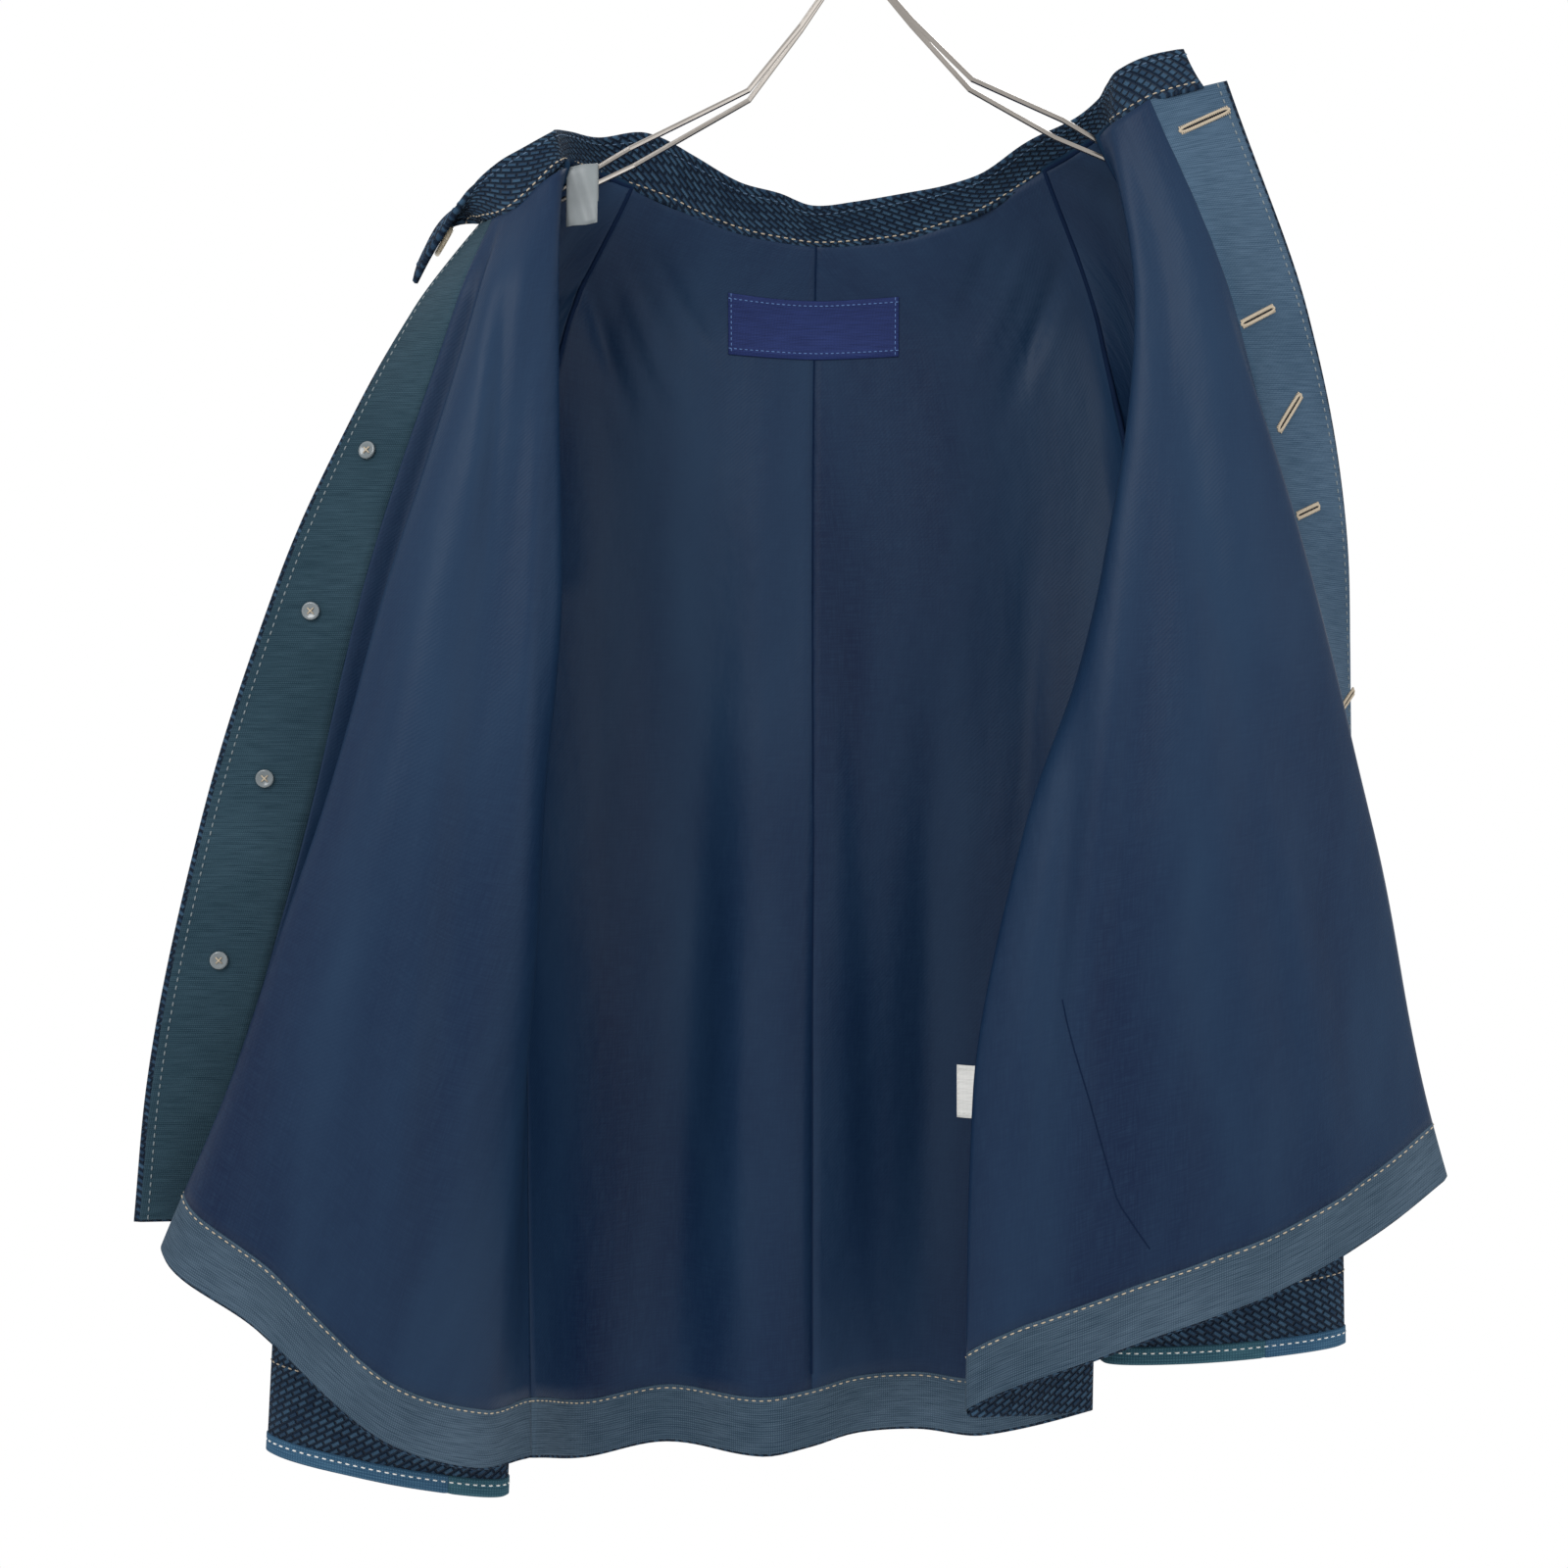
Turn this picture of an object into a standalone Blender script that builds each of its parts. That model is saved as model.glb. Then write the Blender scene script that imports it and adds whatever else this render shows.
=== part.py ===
"""Jacket of indigo kendo cloth, hung open on a double-wire hanger.

The cloth follows lengthwise folds from the neckline to the hem. A smooth surface runs
through them, and each sewn piece is a stretch of that surface with its own thickness:
shell outside, lining and facings inside. Two raglan sleeves hang behind the open fronts.
Lengths in the tables are millimetres; +X is to the viewer's right, +Y is away from the
viewer and +Z is up. The origin is the inside of the hook, where a rail carries the hanger.
"""
import math

import bmesh
import bpy
from mathutils import Vector

MM = 0.001

# Cloth
SHELL_THICK = 2.0
LINING_THICK = 1.0
COLLAR_THICK = 3.4
BINDING_THICK = 3.6
LABEL_THICK = 0.5
LAYER_GAP = 0.15
SEAM_GAP = 0.3
EDGE_SHOWS = 3.0
HEM_BAND = 34.0
HEM_SHOWS = 1.5
CUFF_BINDING = 9.5
FRONT_RAGLAN_TRIM = 3.6
BACK_RAGLAN_TRIM = 3.8
UNDERARM_TRIM = 4.0
LINED_RINGS = 6

# How far each of the first sleeve rings has rounded off from the armhole's own outline
ROUNDING = (0.15, 0.35, 0.6, 0.8, 0.95)

# Trims
BUTTON_RADIUS = 9.5
BUTTON_THICK = 3.0
BUTTON_SHANK = 3.0
SHANK_RADIUS = 1.2
BACKING_RADIUS = 5.0
BACKING_THICK = 1.6
BUTTON_HEIGHTS = (-361.0, -449.0, -541.0, -641.0)
LABEL_BOX = (-61.0, 40.0, -258.0, -292.0)
CARE_BOX = (75.0, 98.0, -712.0, -743.0)

# Hanger
WIRE_RADIUS = 1.6
WIRE_SPREAD = 17.0
END_SPREAD = 6.0
LEFT_KINK = (-48.0, -154.0)
RIGHT_KINK = (78.0, -148.0)
LEFT_SLACK = 0.6
RIGHT_SLACK = 2.0
HOOK_WIRE_RADIUS = 1.8
HOOK_RADIUS = 22.0
NECK = Vector((11.0, 0.0, -78.0))
FERRULE_RADIUS = 6.0
FERRULE_LENGTH = 15.0

# Mesh steps
LEFT_STEPS = (2, 3, 4, 4, 2, 3, 3)
BACK_STEPS = (2, 2, 2, 1, 1, 2, 2, 3, 3, 2)
RIGHT_STEPS = (3, 4, 2, 3, 3, 2)
BACK_CENTRE = sum(BACK_STEPS[:4])
LENGTHWISE = (0, 0.045, 0.10, 0.17, 0.25, 0.333, 0.41, 0.49, 0.57, 0.65, 0.73, 0.81, 0.90, 1, 1.5, 2)
UNDERARM_ROW = 5
HEM_ROW = 13

# Each fold: its name, its neckline point, its place at the four levels, its hem point
LEVELS = (-280.0, -430.0, -570.0, -710.0)
FRONT_LEFT = (
    ("edge", (-198, 0, -226), (-238, -12), (-306, -36), (-350, -36), (-379, -34), (-387, -30, -786)),
    ("facing_seam", (-189, -26, -231), (-206, -44), (-257, -38), (-292, -32), (-332, -26), (-354, -20, -788)),
    ("valley", (-184, -30, -230), (-195, -46), (-242, -38), (-277, -32), (-317, -26), (-340, -21, -792)),
    ("roll", (-180, -32, -229), (-192, -54), (-237, -66), (-279, -66), (-327, -62), (-366, -50, -799)),
    ("outer_fold", (-171, -33, -222), (-179, -62), (-208, -78), (-238, -84), (-274, -84), (-308, -76, -835)),
    ("inner_fold", (-162, -34, -214), (-164, -60), (-177, -74), (-197, -82), (-220, -84), (-245, -72, -894)),
    ("fold_edge", (-153, -31, -206), (-151, -50), (-148, -60), (-160, -60), (-173, -52), (-197, -42, -919)),
    ("seam", (-149, -20, -200), (-169, -32), (-182, 12), (-179, 12), (-175, 5), (-171, -8, -923)),
)
BACK = (
    ("seam_left", (-117, 39, -196), (-157, 50), (-182, 12), (-179, 12), (-175, 5), (-171, -8, -923)),
    ("left_1", (-88, 45, -207), (-130, 62), (-137, 58), (-141, 52), (-143, 50), (-143, 40, -937)),
    ("left_2", (-55, 51, -218), (-80, 62), (-83, 64), (-86, 66), (-92, 68), (-98, 60, -934)),
    ("left_3", (-28, 54, -224), (-40, 62), (-41, 60), (-42, 52), (-45, 42), (-41, 30, -934)),
    ("centre", (-9, 54, -226), (-10, 62), (-11, 60), (-11, 52), (-12, 44), (-12, 38, -931)),
    ("right_1", (14, 54, -225), (14, 62), (15, 62), (14, 60), (15, 58), (16, 55, -927)),
    ("right_2", (44, 52, -222), (59, 60), (66, 60), (62, 64), (54, 66), (51, 62, -927)),
    ("right_3", (67, 48, -216), (115, 62), (123, 60), (111, 56), (97, 58), (88, 52, -928)),
    ("turn", (92, 44, -205), (138, 59), (167, 44), (161, 24), (152, 14), (145, 8, -901)),
    ("low_fold", (108, 41, -196), (150, 56), (176, 28), (142, -8), (128, -14), (122, -12, -897)),
    ("seam_right", (124, 39, -186), (159, 50), (178, 12), (122, -36), (102, -38), (96, -32, -892)),
)
FRONT_RIGHT = (
    ("seam", (148, -18, -184), (184, -28), (178, 12), (122, -36), (102, -38), (96, -32, -892)),
    ("fold_edge", (153, -29, -180), (164, -46), (146, -58), (104, -58), (77, -58), (72, -46, -886)),
    ("inner_fold", (158, -33, -177), (182, -54), (176, -72), (160, -78), (150, -74), (150, -64, -850)),
    ("outer_fold", (163, -35, -174), (197, -56), (216, -74), (226, -82), (235, -78), (240, -68, -815)),
    ("roll", (168, -36, -171), (207, -54), (253, -64), (288, -58), (318, -48), (335, -36, -763)),
    ("facing_seam", (173, -36, -168), (214, -50), (252, -42), (287, -34), (317, -22), (333, -10, -762)),
    ("edge", (218, -26, -154), (264, -18), (294, 4), (299, 18), (314, 26), (328, 34, -772)),
)

# Neck edge of each raglan sleeve, from its front seam to its back seam
SLEEVE_NECK_LEFT = ((-151, -3, -193), (-149, 10, -190), (-145, 22, -190), (-138, 31, -190), (-128, 37, -192))
SLEEVE_NECK_RIGHT = ((156, -6, -174), (160, 8, -170), (156, 21, -170), (147, 31, -174), (136, 36, -180))

# Sleeve rings: outer x and z, inner x and z, middle y, half depth, squareness
SLEEVE_LEFT = (
    (-165, -202, -190, -436, 9, 40, 0.50),
    (-180, -221, -191, -441, 11, 39, 0.55),
    (-192, -247, -192, -449, 13, 37, 0.65),
    (-208, -283, -192, -461, 14, 35, 0.80),
    (-230, -330, -192, -476, 15, 33, 0.90),
    (-258, -380, -191, -498, 15, 31, 1.00),
    (-278, -438, -189, -528, 15, 30, 1.00),
    (-291, -502, -188, -570, 15, 30, 1.00),
    (-300, -576, -187, -622, 16, 29, 1.00),
    (-306, -655, -186, -682, 17, 27, 1.00),
    (-312, -735, -185, -750, 18, 25, 1.00),
    (-318, -812, -186, -830, 19, 23, 1.00),
    (-323, -916, -189, -942, 20, 19, 1.00),
)
SLEEVE_RIGHT = (
    (169, -182, 186, -436, 9, 40, 0.50),
    (180, -194, 188, -441, 11, 39, 0.55),
    (194, -219, 188, -449, 13, 37, 0.65),
    (210, -254, 188, -461, 14, 35, 0.80),
    (230, -303, 187, -476, 15, 33, 0.90),
    (250, -360, 184, -496, 15, 31, 1.00),
    (266, -424, 179, -522, 14, 30, 1.00),
    (276, -492, 174, -560, 14, 30, 1.00),
    (282, -560, 169, -606, 14, 29, 1.00),
    (286, -630, 165, -662, 14, 27, 1.00),
    (289, -700, 162, -722, 15, 25, 1.00),
    (291, -775, 160, -790, 18, 23, 1.00),
    (293, -855, 157, -866, 21, 19, 1.00),
)

# Collar stations: lower edge, upper edge, and how far the middle bows from their chord
COLLAR = (
    ((-200, 3, -221), (-236, -5, -261), (-9, 19, 14)),
    ((-199, -2, -221), (-228, -6, -246), (-8, 16, 14)),
    ((-197, -8, -222), (-218, -8, -230), (-6, 12, 10)),
    ((-192, -18, -226), (-204, -12, -211), (-3, 6, 3)),
    ((-181, -30, -227), (-187, -22, -199), (0, 2, 0)),
    ((-168, -33, -217), (-172, -27, -192), (0, 1, 0)),
    ((-154, -29, -200), (-158, -26, -184), (0, 1, 0)),
    ((-152, -14, -193), (-156, -12, -178), (0, 1, 0)),
    ((-148, 12, -188), (-150, 12, -172), (0, 1, 0)),
    ((-131, 37, -189), (-135, 30, -170), (0, 2, 0)),
    ((-112, 40, -196), (-112, 33, -166), (0, 3, 0)),
    ((-98, 42, -201), (-98, 36, -169), (0, 3, 0)),
    ((-76, 48, -210), (-80, 40, -178), (0, 3, 0)),
    ((-50, 52, -218), (-54, 44, -192), (0, 3, 0)),
    ((-28, 54, -222), (-30, 46, -198), (0, 3, 0)),
    ((-9, 54, -224), (-11, 46, -205), (0, 3, 0)),
    ((14, 54, -223), (13, 46, -203), (0, 3, 0)),
    ((44, 52, -220), (44, 45, -198), (0, 3, 0)),
    ((67, 48, -214), (68, 42, -194), (0, 3, 0)),
    ((89, 43, -206), (89, 36, -188), (0, 3, 0)),
    ((120, 41, -187), (114, 34, -171), (0, 3, 0)),
    ((146, 33, -172), (140, 26, -160), (0, 2, 0)),
    ((158, 17, -168), (153, 14, -152), (0, 1, 0)),
    ((159, -4, -169), (156, -6, -149), (0, 1, 0)),
    ((157, -24, -174), (160, -20, -146), (0, 2, 0)),
    ((176, -35, -165), (174, -26, -141), (0, 2, 0)),
    ((203, -31, -156), (193, -26, -137), (0, 2, 0)),
)
COLLAR_ROWS = 4

KENDO_INDIGO = (0.020, 0.045, 0.085)
LINING_NAVY = (0.018, 0.036, 0.105)
FACING_SLATE = (0.045, 0.090, 0.135)
BINDING_BLUE = (0.060, 0.190, 0.330)
BINDING_TEAL = (0.040, 0.150, 0.190)
LABEL_NAVY = (0.020, 0.022, 0.110)
CARE_WHITE = (0.80, 0.80, 0.78)
BUTTON_CREAM = (0.72, 0.62, 0.45)
BUTTON_CLEAR = (0.60, 0.62, 0.62)
CHROME = (0.60, 0.57, 0.54)
FROSTED = (0.55, 0.58, 0.58)


def material(name, colour, roughness, metallic=0.0):
    """One plain surface for a sub-part."""
    made = bpy.data.materials.new(name)
    made.use_nodes = True
    surface = made.node_tree.nodes["Principled BSDF"]
    surface.inputs["Base Color"].default_value = (*colour, 1.0)
    surface.inputs["Roughness"].default_value = roughness
    surface.inputs["Metallic"].default_value = metallic
    return made


def monotone(knots, values, at):
    """Smooth curve through the values that never swings past them."""
    count = len(knots)
    steps = [knots[i + 1] - knots[i] for i in range(count - 1)]
    rates = [(values[i + 1] - values[i]) / steps[i] for i in range(count - 1)]
    slopes = [rates[0]]
    for before, after in zip(rates, rates[1:]):
        slopes.append(0.0 if before * after <= 0 else 2 * before * after / (before + after))
    slopes.append(rates[-1])
    piece = 0
    while piece < count - 2 and at > knots[piece + 1]:
        piece += 1
    width = steps[piece]
    u = (at - knots[piece]) / width
    rise = (2 * u ** 3 - 3 * u ** 2 + 1) * values[piece] + (3 * u ** 2 - 2 * u ** 3) * values[piece + 1]
    lean = (u ** 3 - 2 * u ** 2 + u) * slopes[piece] + (u ** 3 - u ** 2) * slopes[piece + 1]
    return rise + lean * width


def fold_point(fold, lengthwise):
    """Point on one fold: 0 is the neckline, 1 the top of the hem band and 2 the hem."""
    neck = Vector(fold[1])
    hem = Vector(fold[6])
    depths = [-neck.z, *(-level for level in LEVELS), -hem.z]
    across = [neck.x, *(place[0] for place in fold[2:6]), hem.x]
    away = [neck.y, *(place[1] for place in fold[2:6]), hem.y]
    stations = [Vector(three) for three in zip(across, away, depths)]
    run = sum((b - a).length for a, b in zip(stations, stations[1:]))
    band = HEM_BAND * (depths[-1] - depths[0]) / run
    underarm = LENGTHWISE[UNDERARM_ROW]
    marks = ((0, depths[0]), (underarm, -LEVELS[1]), (1, depths[-1] - band), (2, depths[-1]))
    for (low, start), (high, stop) in zip(marks, marks[1:]):
        if low <= lengthwise <= high:
            depth = start + (stop - start) * (lengthwise - low) / (high - low)
    return Vector((monotone(depths, across, depth), monotone(depths, away, depth), -depth))


def section(points, steps, before=None, after=None, joined=0.0):
    """Smooth line through the fold points; `joined` is how far it runs on into the next piece."""
    tangents = []
    for index, point in enumerate(points):
        low = points[index - 1] if index else before
        high = points[index + 1] if index + 1 < len(points) else after
        if index == 0:
            alone = (points[1] - point).normalized()
        elif index + 1 == len(points):
            alone = (point - points[-2]).normalized()
        else:
            alone = None
        if low is not None and high is not None:
            through = (high - low).normalized()
            weight = 1.0 if alone is None else joined
            alone = through if alone is None else alone
            tangents.append(alone.lerp(through, weight))
        else:
            tangents.append(alone)
    line = []
    for index in range(len(points) - 1):
        chord = (points[index + 1] - points[index]).length
        for step in range(steps[index]):
            u = step / steps[index]
            line.append(
                (2 * u ** 3 - 3 * u ** 2 + 1) * points[index]
                + (3 * u ** 2 - 2 * u ** 3) * points[index + 1]
                + (u ** 3 - 2 * u ** 2 + u) * chord * tangents[index]
                + (u ** 3 - u ** 2) * chord * tangents[index + 1]
            )
    line.append(points[-1].copy())
    return line


def body_grids():
    """Rows of surface points for the left front, the back and the right front."""
    grids = ([], [], [])
    for row, lengthwise in enumerate(LENGTHWISE):
        left, back, right = (
            [fold_point(fold, lengthwise) for fold in folds] for folds in (FRONT_LEFT, BACK, FRONT_RIGHT)
        )
        joined = 1.0 if row >= UNDERARM_ROW else 0.0
        if joined:
            back[0] = left[-1]
            back[-1] = right[0]
        grids[0].append(section(left, LEFT_STEPS, after=back[1], joined=joined))
        grids[1].append(section(back, BACK_STEPS, left[-2], right[1], joined))
        grids[2].append(section(right, RIGHT_STEPS, before=back[-2], joined=joined))
    return grids


def pulled(point, toward, distance):
    """The point moved toward its neighbour by a distance."""
    return point + (toward - point).normalized() * distance


def trimmed(rows, first=0.0, last=0.0, top=0.0, bottom=0.0):
    """A grid with its edges drawn in by the given distances; a list gives one distance a row."""
    made = [list(row) for row in rows]
    for index, row in enumerate(rows):
        near = first[index] if isinstance(first, list) else first
        far = last[index] if isinstance(last, list) else last
        made[index][0] = pulled(row[0], row[1], near)
        made[index][-1] = pulled(row[-1], row[-2], far)
    source = [list(row) for row in made]
    made[0] = [pulled(a, b, top) for a, b in zip(source[0], source[1])]
    made[-1] = [pulled(a, b, bottom) for a, b in zip(source[-1], source[-2])]
    return made


def surface_normals(rows, low_side=None, high_side=None, closed=False):
    """Outward direction at each grid point, shared with a neighbouring grid below the underarm."""
    normals = []
    last_row = len(rows) - 1
    last_column = len(rows[0]) - 1
    for r, row in enumerate(rows):
        joined = r >= UNDERARM_ROW
        line = []
        for c in range(len(row)):
            before = row[c - 1] if c or closed else row[0]
            after = row[(c + 1) % len(row)] if c < last_column or closed else row[-1]
            if joined and c == 0 and low_side:
                before = low_side[r][-2]
            if joined and c == last_column and high_side:
                after = high_side[r][1]
            above = rows[max(r - 1, 0)][c]
            below = rows[min(r + 1, last_row)][c]
            if r == UNDERARM_ROW and (c == 0 and low_side or c == last_column and high_side):
                above = row[c]
            line.append((after - before).cross(below - above).normalized())
        normals.append(line)
    return normals


def moved(rows, normals, distance):
    """The grid moved along its outward directions."""
    return [[p + n * distance for p, n in zip(*pair)] for pair in zip(rows, normals)]


def link(made, collection, colour, roughness, metallic=0.0):
    """Put an object in the garment's collection with its own material."""
    for other in made.users_collection:
        other.objects.unlink(made)
    collection.objects.link(made)
    made.data.materials.append(material(made.name, colour, roughness, metallic))
    return made


def cloth(name, near, far, colour, collection, closed=False, roughness=0.9):
    """One sewn piece: a loft between its two faces, so that neighbours meet on one mitre."""
    shape = bmesh.new()
    width = len(near[0])
    columns = width if closed else width - 1
    faces = [[[shape.verts.new(point * MM) for point in row] for row in face] for face in (near, far)]
    for side in faces:
        for upper, lower in zip(side, side[1:]):
            for c in range(columns):
                n = (c + 1) % width
                shape.faces.new((upper[c], upper[n], lower[n]))
                shape.faces.new((upper[c], lower[n], lower[c]))
    edges = [(faces[0][0], faces[1][0]), (faces[0][-1], faces[1][-1])]
    if not closed:
        edges += [tuple([row[end] for row in side] for side in faces) for end in (0, -1)]
    for one, other in edges:
        for c in range(columns if len(one) == width and closed else len(one) - 1):
            n = (c + 1) % len(one)
            shape.faces.new((one[c], one[n], other[n], other[c]))
    bmesh.ops.recalc_face_normals(shape, faces=shape.faces)
    mesh = bpy.data.meshes.new(name)
    shape.to_mesh(mesh)
    shape.free()
    return link(bpy.data.objects.new(name, mesh), collection, colour, roughness)


def layer(name, grid, span, faces, trims, colour, collection, roughness=0.9):
    """A stretch of a grid as one layer of cloth between two distances from its surface."""
    rows, normals = grid
    rows = part_of(rows, *span)
    normals = part_of(normals, *span)
    near, far = (trimmed(moved(rows, normals, distance), *trims) for distance in faces)
    return cloth(name, near, far, colour, collection, roughness=roughness)


def part_of(rows, row_range, column_range):
    """A stretch of a grid, both ends included."""
    return [row[column_range[0]:column_range[1] + 1] for row in rows[row_range[0]:row_range[1] + 1]]


def seam_trims(raglan, first_row, last_row):
    """One trim a row for a side edge: the raglan seam above the underarm, a flat seam below."""
    return [raglan if row < UNDERARM_ROW else SEAM_GAP / 2 for row in range(first_row, last_row + 1)]


def body(grids, collection):
    """Shell, lining, facings and hem bands of the two fronts and the back."""
    left, back, right = grids
    left_grid = (left, surface_normals(left, high_side=back))
    back_grid = (back, surface_normals(back, low_side=left, high_side=right))
    right_grid = (right, surface_normals(right, low_side=back))
    outer = (LAYER_GAP, LAYER_GAP + SHELL_THICK)
    inside = (-LAYER_GAP, -LAYER_GAP - LINING_THICK)
    half = SEAM_GAP / 2
    end = len(LENGTHWISE) - 1
    facing = LEFT_STEPS[0]
    middle = BACK_CENTRE
    last_left, last_back, last_right = (len(rows[0]) - 1 for rows in grids)
    slate = {"colour": FACING_SLATE, "collection": collection}
    navy = {"colour": LINING_NAVY, "collection": collection, "roughness": 0.4}
    kendo = {"colour": KENDO_INDIGO, "collection": collection}

    front_trim = seam_trims(FRONT_RAGLAN_TRIM, 0, end)
    back_trim = seam_trims(BACK_RAGLAN_TRIM, 0, end)
    for name, grid, last, trims in (
        ("shell_front_left", left_grid, last_left, (0.0, front_trim)),
        ("shell_back", back_grid, last_back, (back_trim, back_trim)),
        ("shell_front_right", right_grid, last_right, (front_trim, 0.0)),
    ):
        layer(name, grid, ((0, end), (0, last)), outer, trims, **kendo)

    front_lined = front_trim[:HEM_ROW + 1]
    back_lined = back_trim[:HEM_ROW + 1]
    for name, grid, columns, trims in (
        ("lining_front_left", left_grid, (facing, last_left), (half, front_lined, half, half)),
        ("lining_back_left", back_grid, (0, middle), (back_lined, half, half, half)),
        ("lining_back_right", back_grid, (middle, last_back), (half, back_lined, half, half)),
        ("lining_front_right", right_grid, (0, last_right - RIGHT_STEPS[-1]), (front_lined, half, half, half)),
    ):
        layer(name, grid, ((0, HEM_ROW), columns), inside, trims, **navy)

    for name, grid, rows, columns, trims in (
        ("facing_front_left", left_grid, (0, end), (0, facing), (EDGE_SHOWS, half)),
        ("facing_front_right", right_grid, (0, end), (last_right - RIGHT_STEPS[-1], last_right), (half, EDGE_SHOWS)),
        ("hem_band_front_left", left_grid, (HEM_ROW, end), (facing, last_left), (half, half)),
        ("hem_band_back", back_grid, (HEM_ROW, end), (0, last_back), (half, half)),
        ("hem_band_front_right", right_grid, (HEM_ROW, end), (0, last_right - RIGHT_STEPS[-1]), (half, half)),
    ):
        layer(name, grid, (rows, columns), inside, (*trims, half, HEM_SHOWS), **slate)


def armhole(front, front_column, back, back_column, neck_points):
    """Closed line round a sleeve's seam, from the underarm up the front, over and down the back."""
    line = [front[row][front_column].copy() for row in range(UNDERARM_ROW, -1, -1)]
    line += [Vector(point) for point in neck_points]
    line += [back[row][back_column].copy() for row in range(0, UNDERARM_ROW)]
    doubled = []
    for index, point in enumerate(line):
        beyond = line[(index + 1) % len(line)]
        doubled += [point, (point + beyond) / 2]
    return doubled


def sleeve_rows(seam, rings):
    """The sleeve's surface from its seam to its cuff, one row of points a ring."""
    lengths = [0.0]
    for index, point in enumerate(seam):
        lengths.append(lengths[-1] + (seam[(index + 1) % len(seam)] - point).length)
    angles = [math.tau * length / lengths[-1] - math.pi for length in lengths[:-1]]
    shoulder = seam[len(seam) // 2]
    underarm = seam[0]
    rows = [seam]
    for number, (outer_x, outer_z, inner_x, inner_z, middle, half, power) in enumerate(rings):
        outer = Vector((outer_x, middle, outer_z))
        inside = Vector((inner_x, middle, inner_z))
        centre = (outer + inside) / 2
        rounding = ROUNDING[number] if number < len(ROUNDING) else 1.0
        row = []
        for angle, start in zip(angles, seam):
            cosine = math.cos(angle)
            sine = math.sin(angle)
            across = Vector((0, half * math.copysign(abs(sine) ** power, sine), 0))
            ring = centre + (outer - inside) / 2 * cosine + across
            shift = (outer - shoulder) * (1 + cosine) / 2 + (inside - underarm) * (1 - cosine) / 2
            shift.y = 0
            row.append((start + shift).lerp(ring, rounding))
        rows.append(row)
    return rows


def seam_start(rows):
    """The sleeve's first row drawn off its seam, most at the underarm and along the front."""
    width = len(rows[0])
    start = []
    for index, (point, target) in enumerate(zip(rows[0], rows[1])):
        angle = math.tau * index / width
        pit = max(0.0, math.cos(angle)) ** 24
        raglan = FRONT_RAGLAN_TRIM if 0 < index < width / 2 else BACK_RAGLAN_TRIM
        if abs(index - width / 2) <= len(SLEEVE_NECK_LEFT):
            raglan = SEAM_GAP
        start.append(pulled(point, target, raglan + UNDERARM_TRIM * pit))
    return [start, *rows[1:]]


def sleeve(side, seam, rings, mirrored, blue_span, collection):
    """Kendo-cloth sleeve, the lining at its shoulder and the two-coloured binding of its cuff."""
    rows = sleeve_rows(seam, rings)
    normals = surface_normals(rows, closed=True)
    sign = -1 if mirrored else 1
    near, far = (
        seam_start(moved(rows, normals, sign * distance))
        for distance in (LAYER_GAP, LAYER_GAP + SHELL_THICK)
    )
    cloth(f"shell_sleeve_{side}", near, far, KENDO_INDIGO, collection, closed=True)
    near, far = (
        seam_start(moved(rows, normals, sign * distance))[:LINED_RINGS]
        for distance in (-LAYER_GAP, -LAYER_GAP - LINING_THICK)
    )
    cloth(f"lining_sleeve_{side}", near, far, LINING_NAVY, collection, closed=True, roughness=0.4)
    down = [(low - high).normalized() for high, low in zip(rows[-2], rows[-1])]
    top = [point + way * SEAM_GAP for point, way in zip(rows[-1], down)]
    bottom = [point + way * (SEAM_GAP + CUFF_BINDING) for point, way in zip(rows[-1], down)]
    band = [top, bottom]
    band_normals = [normals[-1], normals[-1]]
    width = len(rows[0])
    first, last = blue_span
    for name, span, colour in (
        ("blue", (first, last), BINDING_BLUE),
        ("teal", (last, first + width), BINDING_TEAL),
    ):
        near, far = (
            ring_piece(moved(band, band_normals, sign * distance), *span)
            for distance in ((SHELL_THICK - BINDING_THICK) / 2, (SHELL_THICK + BINDING_THICK) / 2)
        )
        cloth(f"cuff_binding_{side}_{name}", near, far, colour, collection)
    return rows, [[n * sign for n in row] for row in normals]


def ring_piece(rows, first, last):
    """Part of a closed ring as an open strip, its ends drawn in by half a seam gap."""
    width = len(rows[0])
    strip = [[row[index % width] for index in range(first, last + 1)] for row in rows]
    return trimmed(strip, SEAM_GAP / 2, SEAM_GAP / 2)


def collar(collection):
    """Stand collar: a doubled band of kendo cloth, curled outward at its left end."""
    rows = []
    for row in range(COLLAR_ROWS + 1):
        u = row / COLLAR_ROWS
        line = []
        for lower, upper, bow in COLLAR:
            low = Vector(lower) + Vector((0, 0, 2 * SEAM_GAP))
            line.append(low.lerp(Vector(upper), u) + Vector(bow) * 4 * u * (1 - u))
        rows.append(section(line, [2] * (len(line) - 1)))
    rows.reverse()
    normals = surface_normals(rows)
    near, far = (moved(rows, normals, distance) for distance in (-COLLAR_THICK / 2, COLLAR_THICK / 2))
    cloth("collar", near, far, KENDO_INDIGO, collection)
    return rows


def grid_at(rows, across, along):
    """Point on the grid at fractional column and row."""
    c = min(int(across), len(rows[0]) - 2)
    r = min(int(along), len(rows) - 2)
    u = across - c
    v = along - r
    upper = rows[r][c].lerp(rows[r][c + 1], u)
    lower = rows[r + 1][c].lerp(rows[r + 1][c + 1], u)
    return upper.lerp(lower, v)


def row_at_height(rows, across, height):
    """Fractional row where the grid passes a height."""
    for r in range(len(rows) - 1):
        high = grid_at(rows, across, r).z
        low = grid_at(rows, across, r + 1).z
        if low <= height <= high:
            return r + (high - height) / (high - low)
    return 0.0


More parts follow.
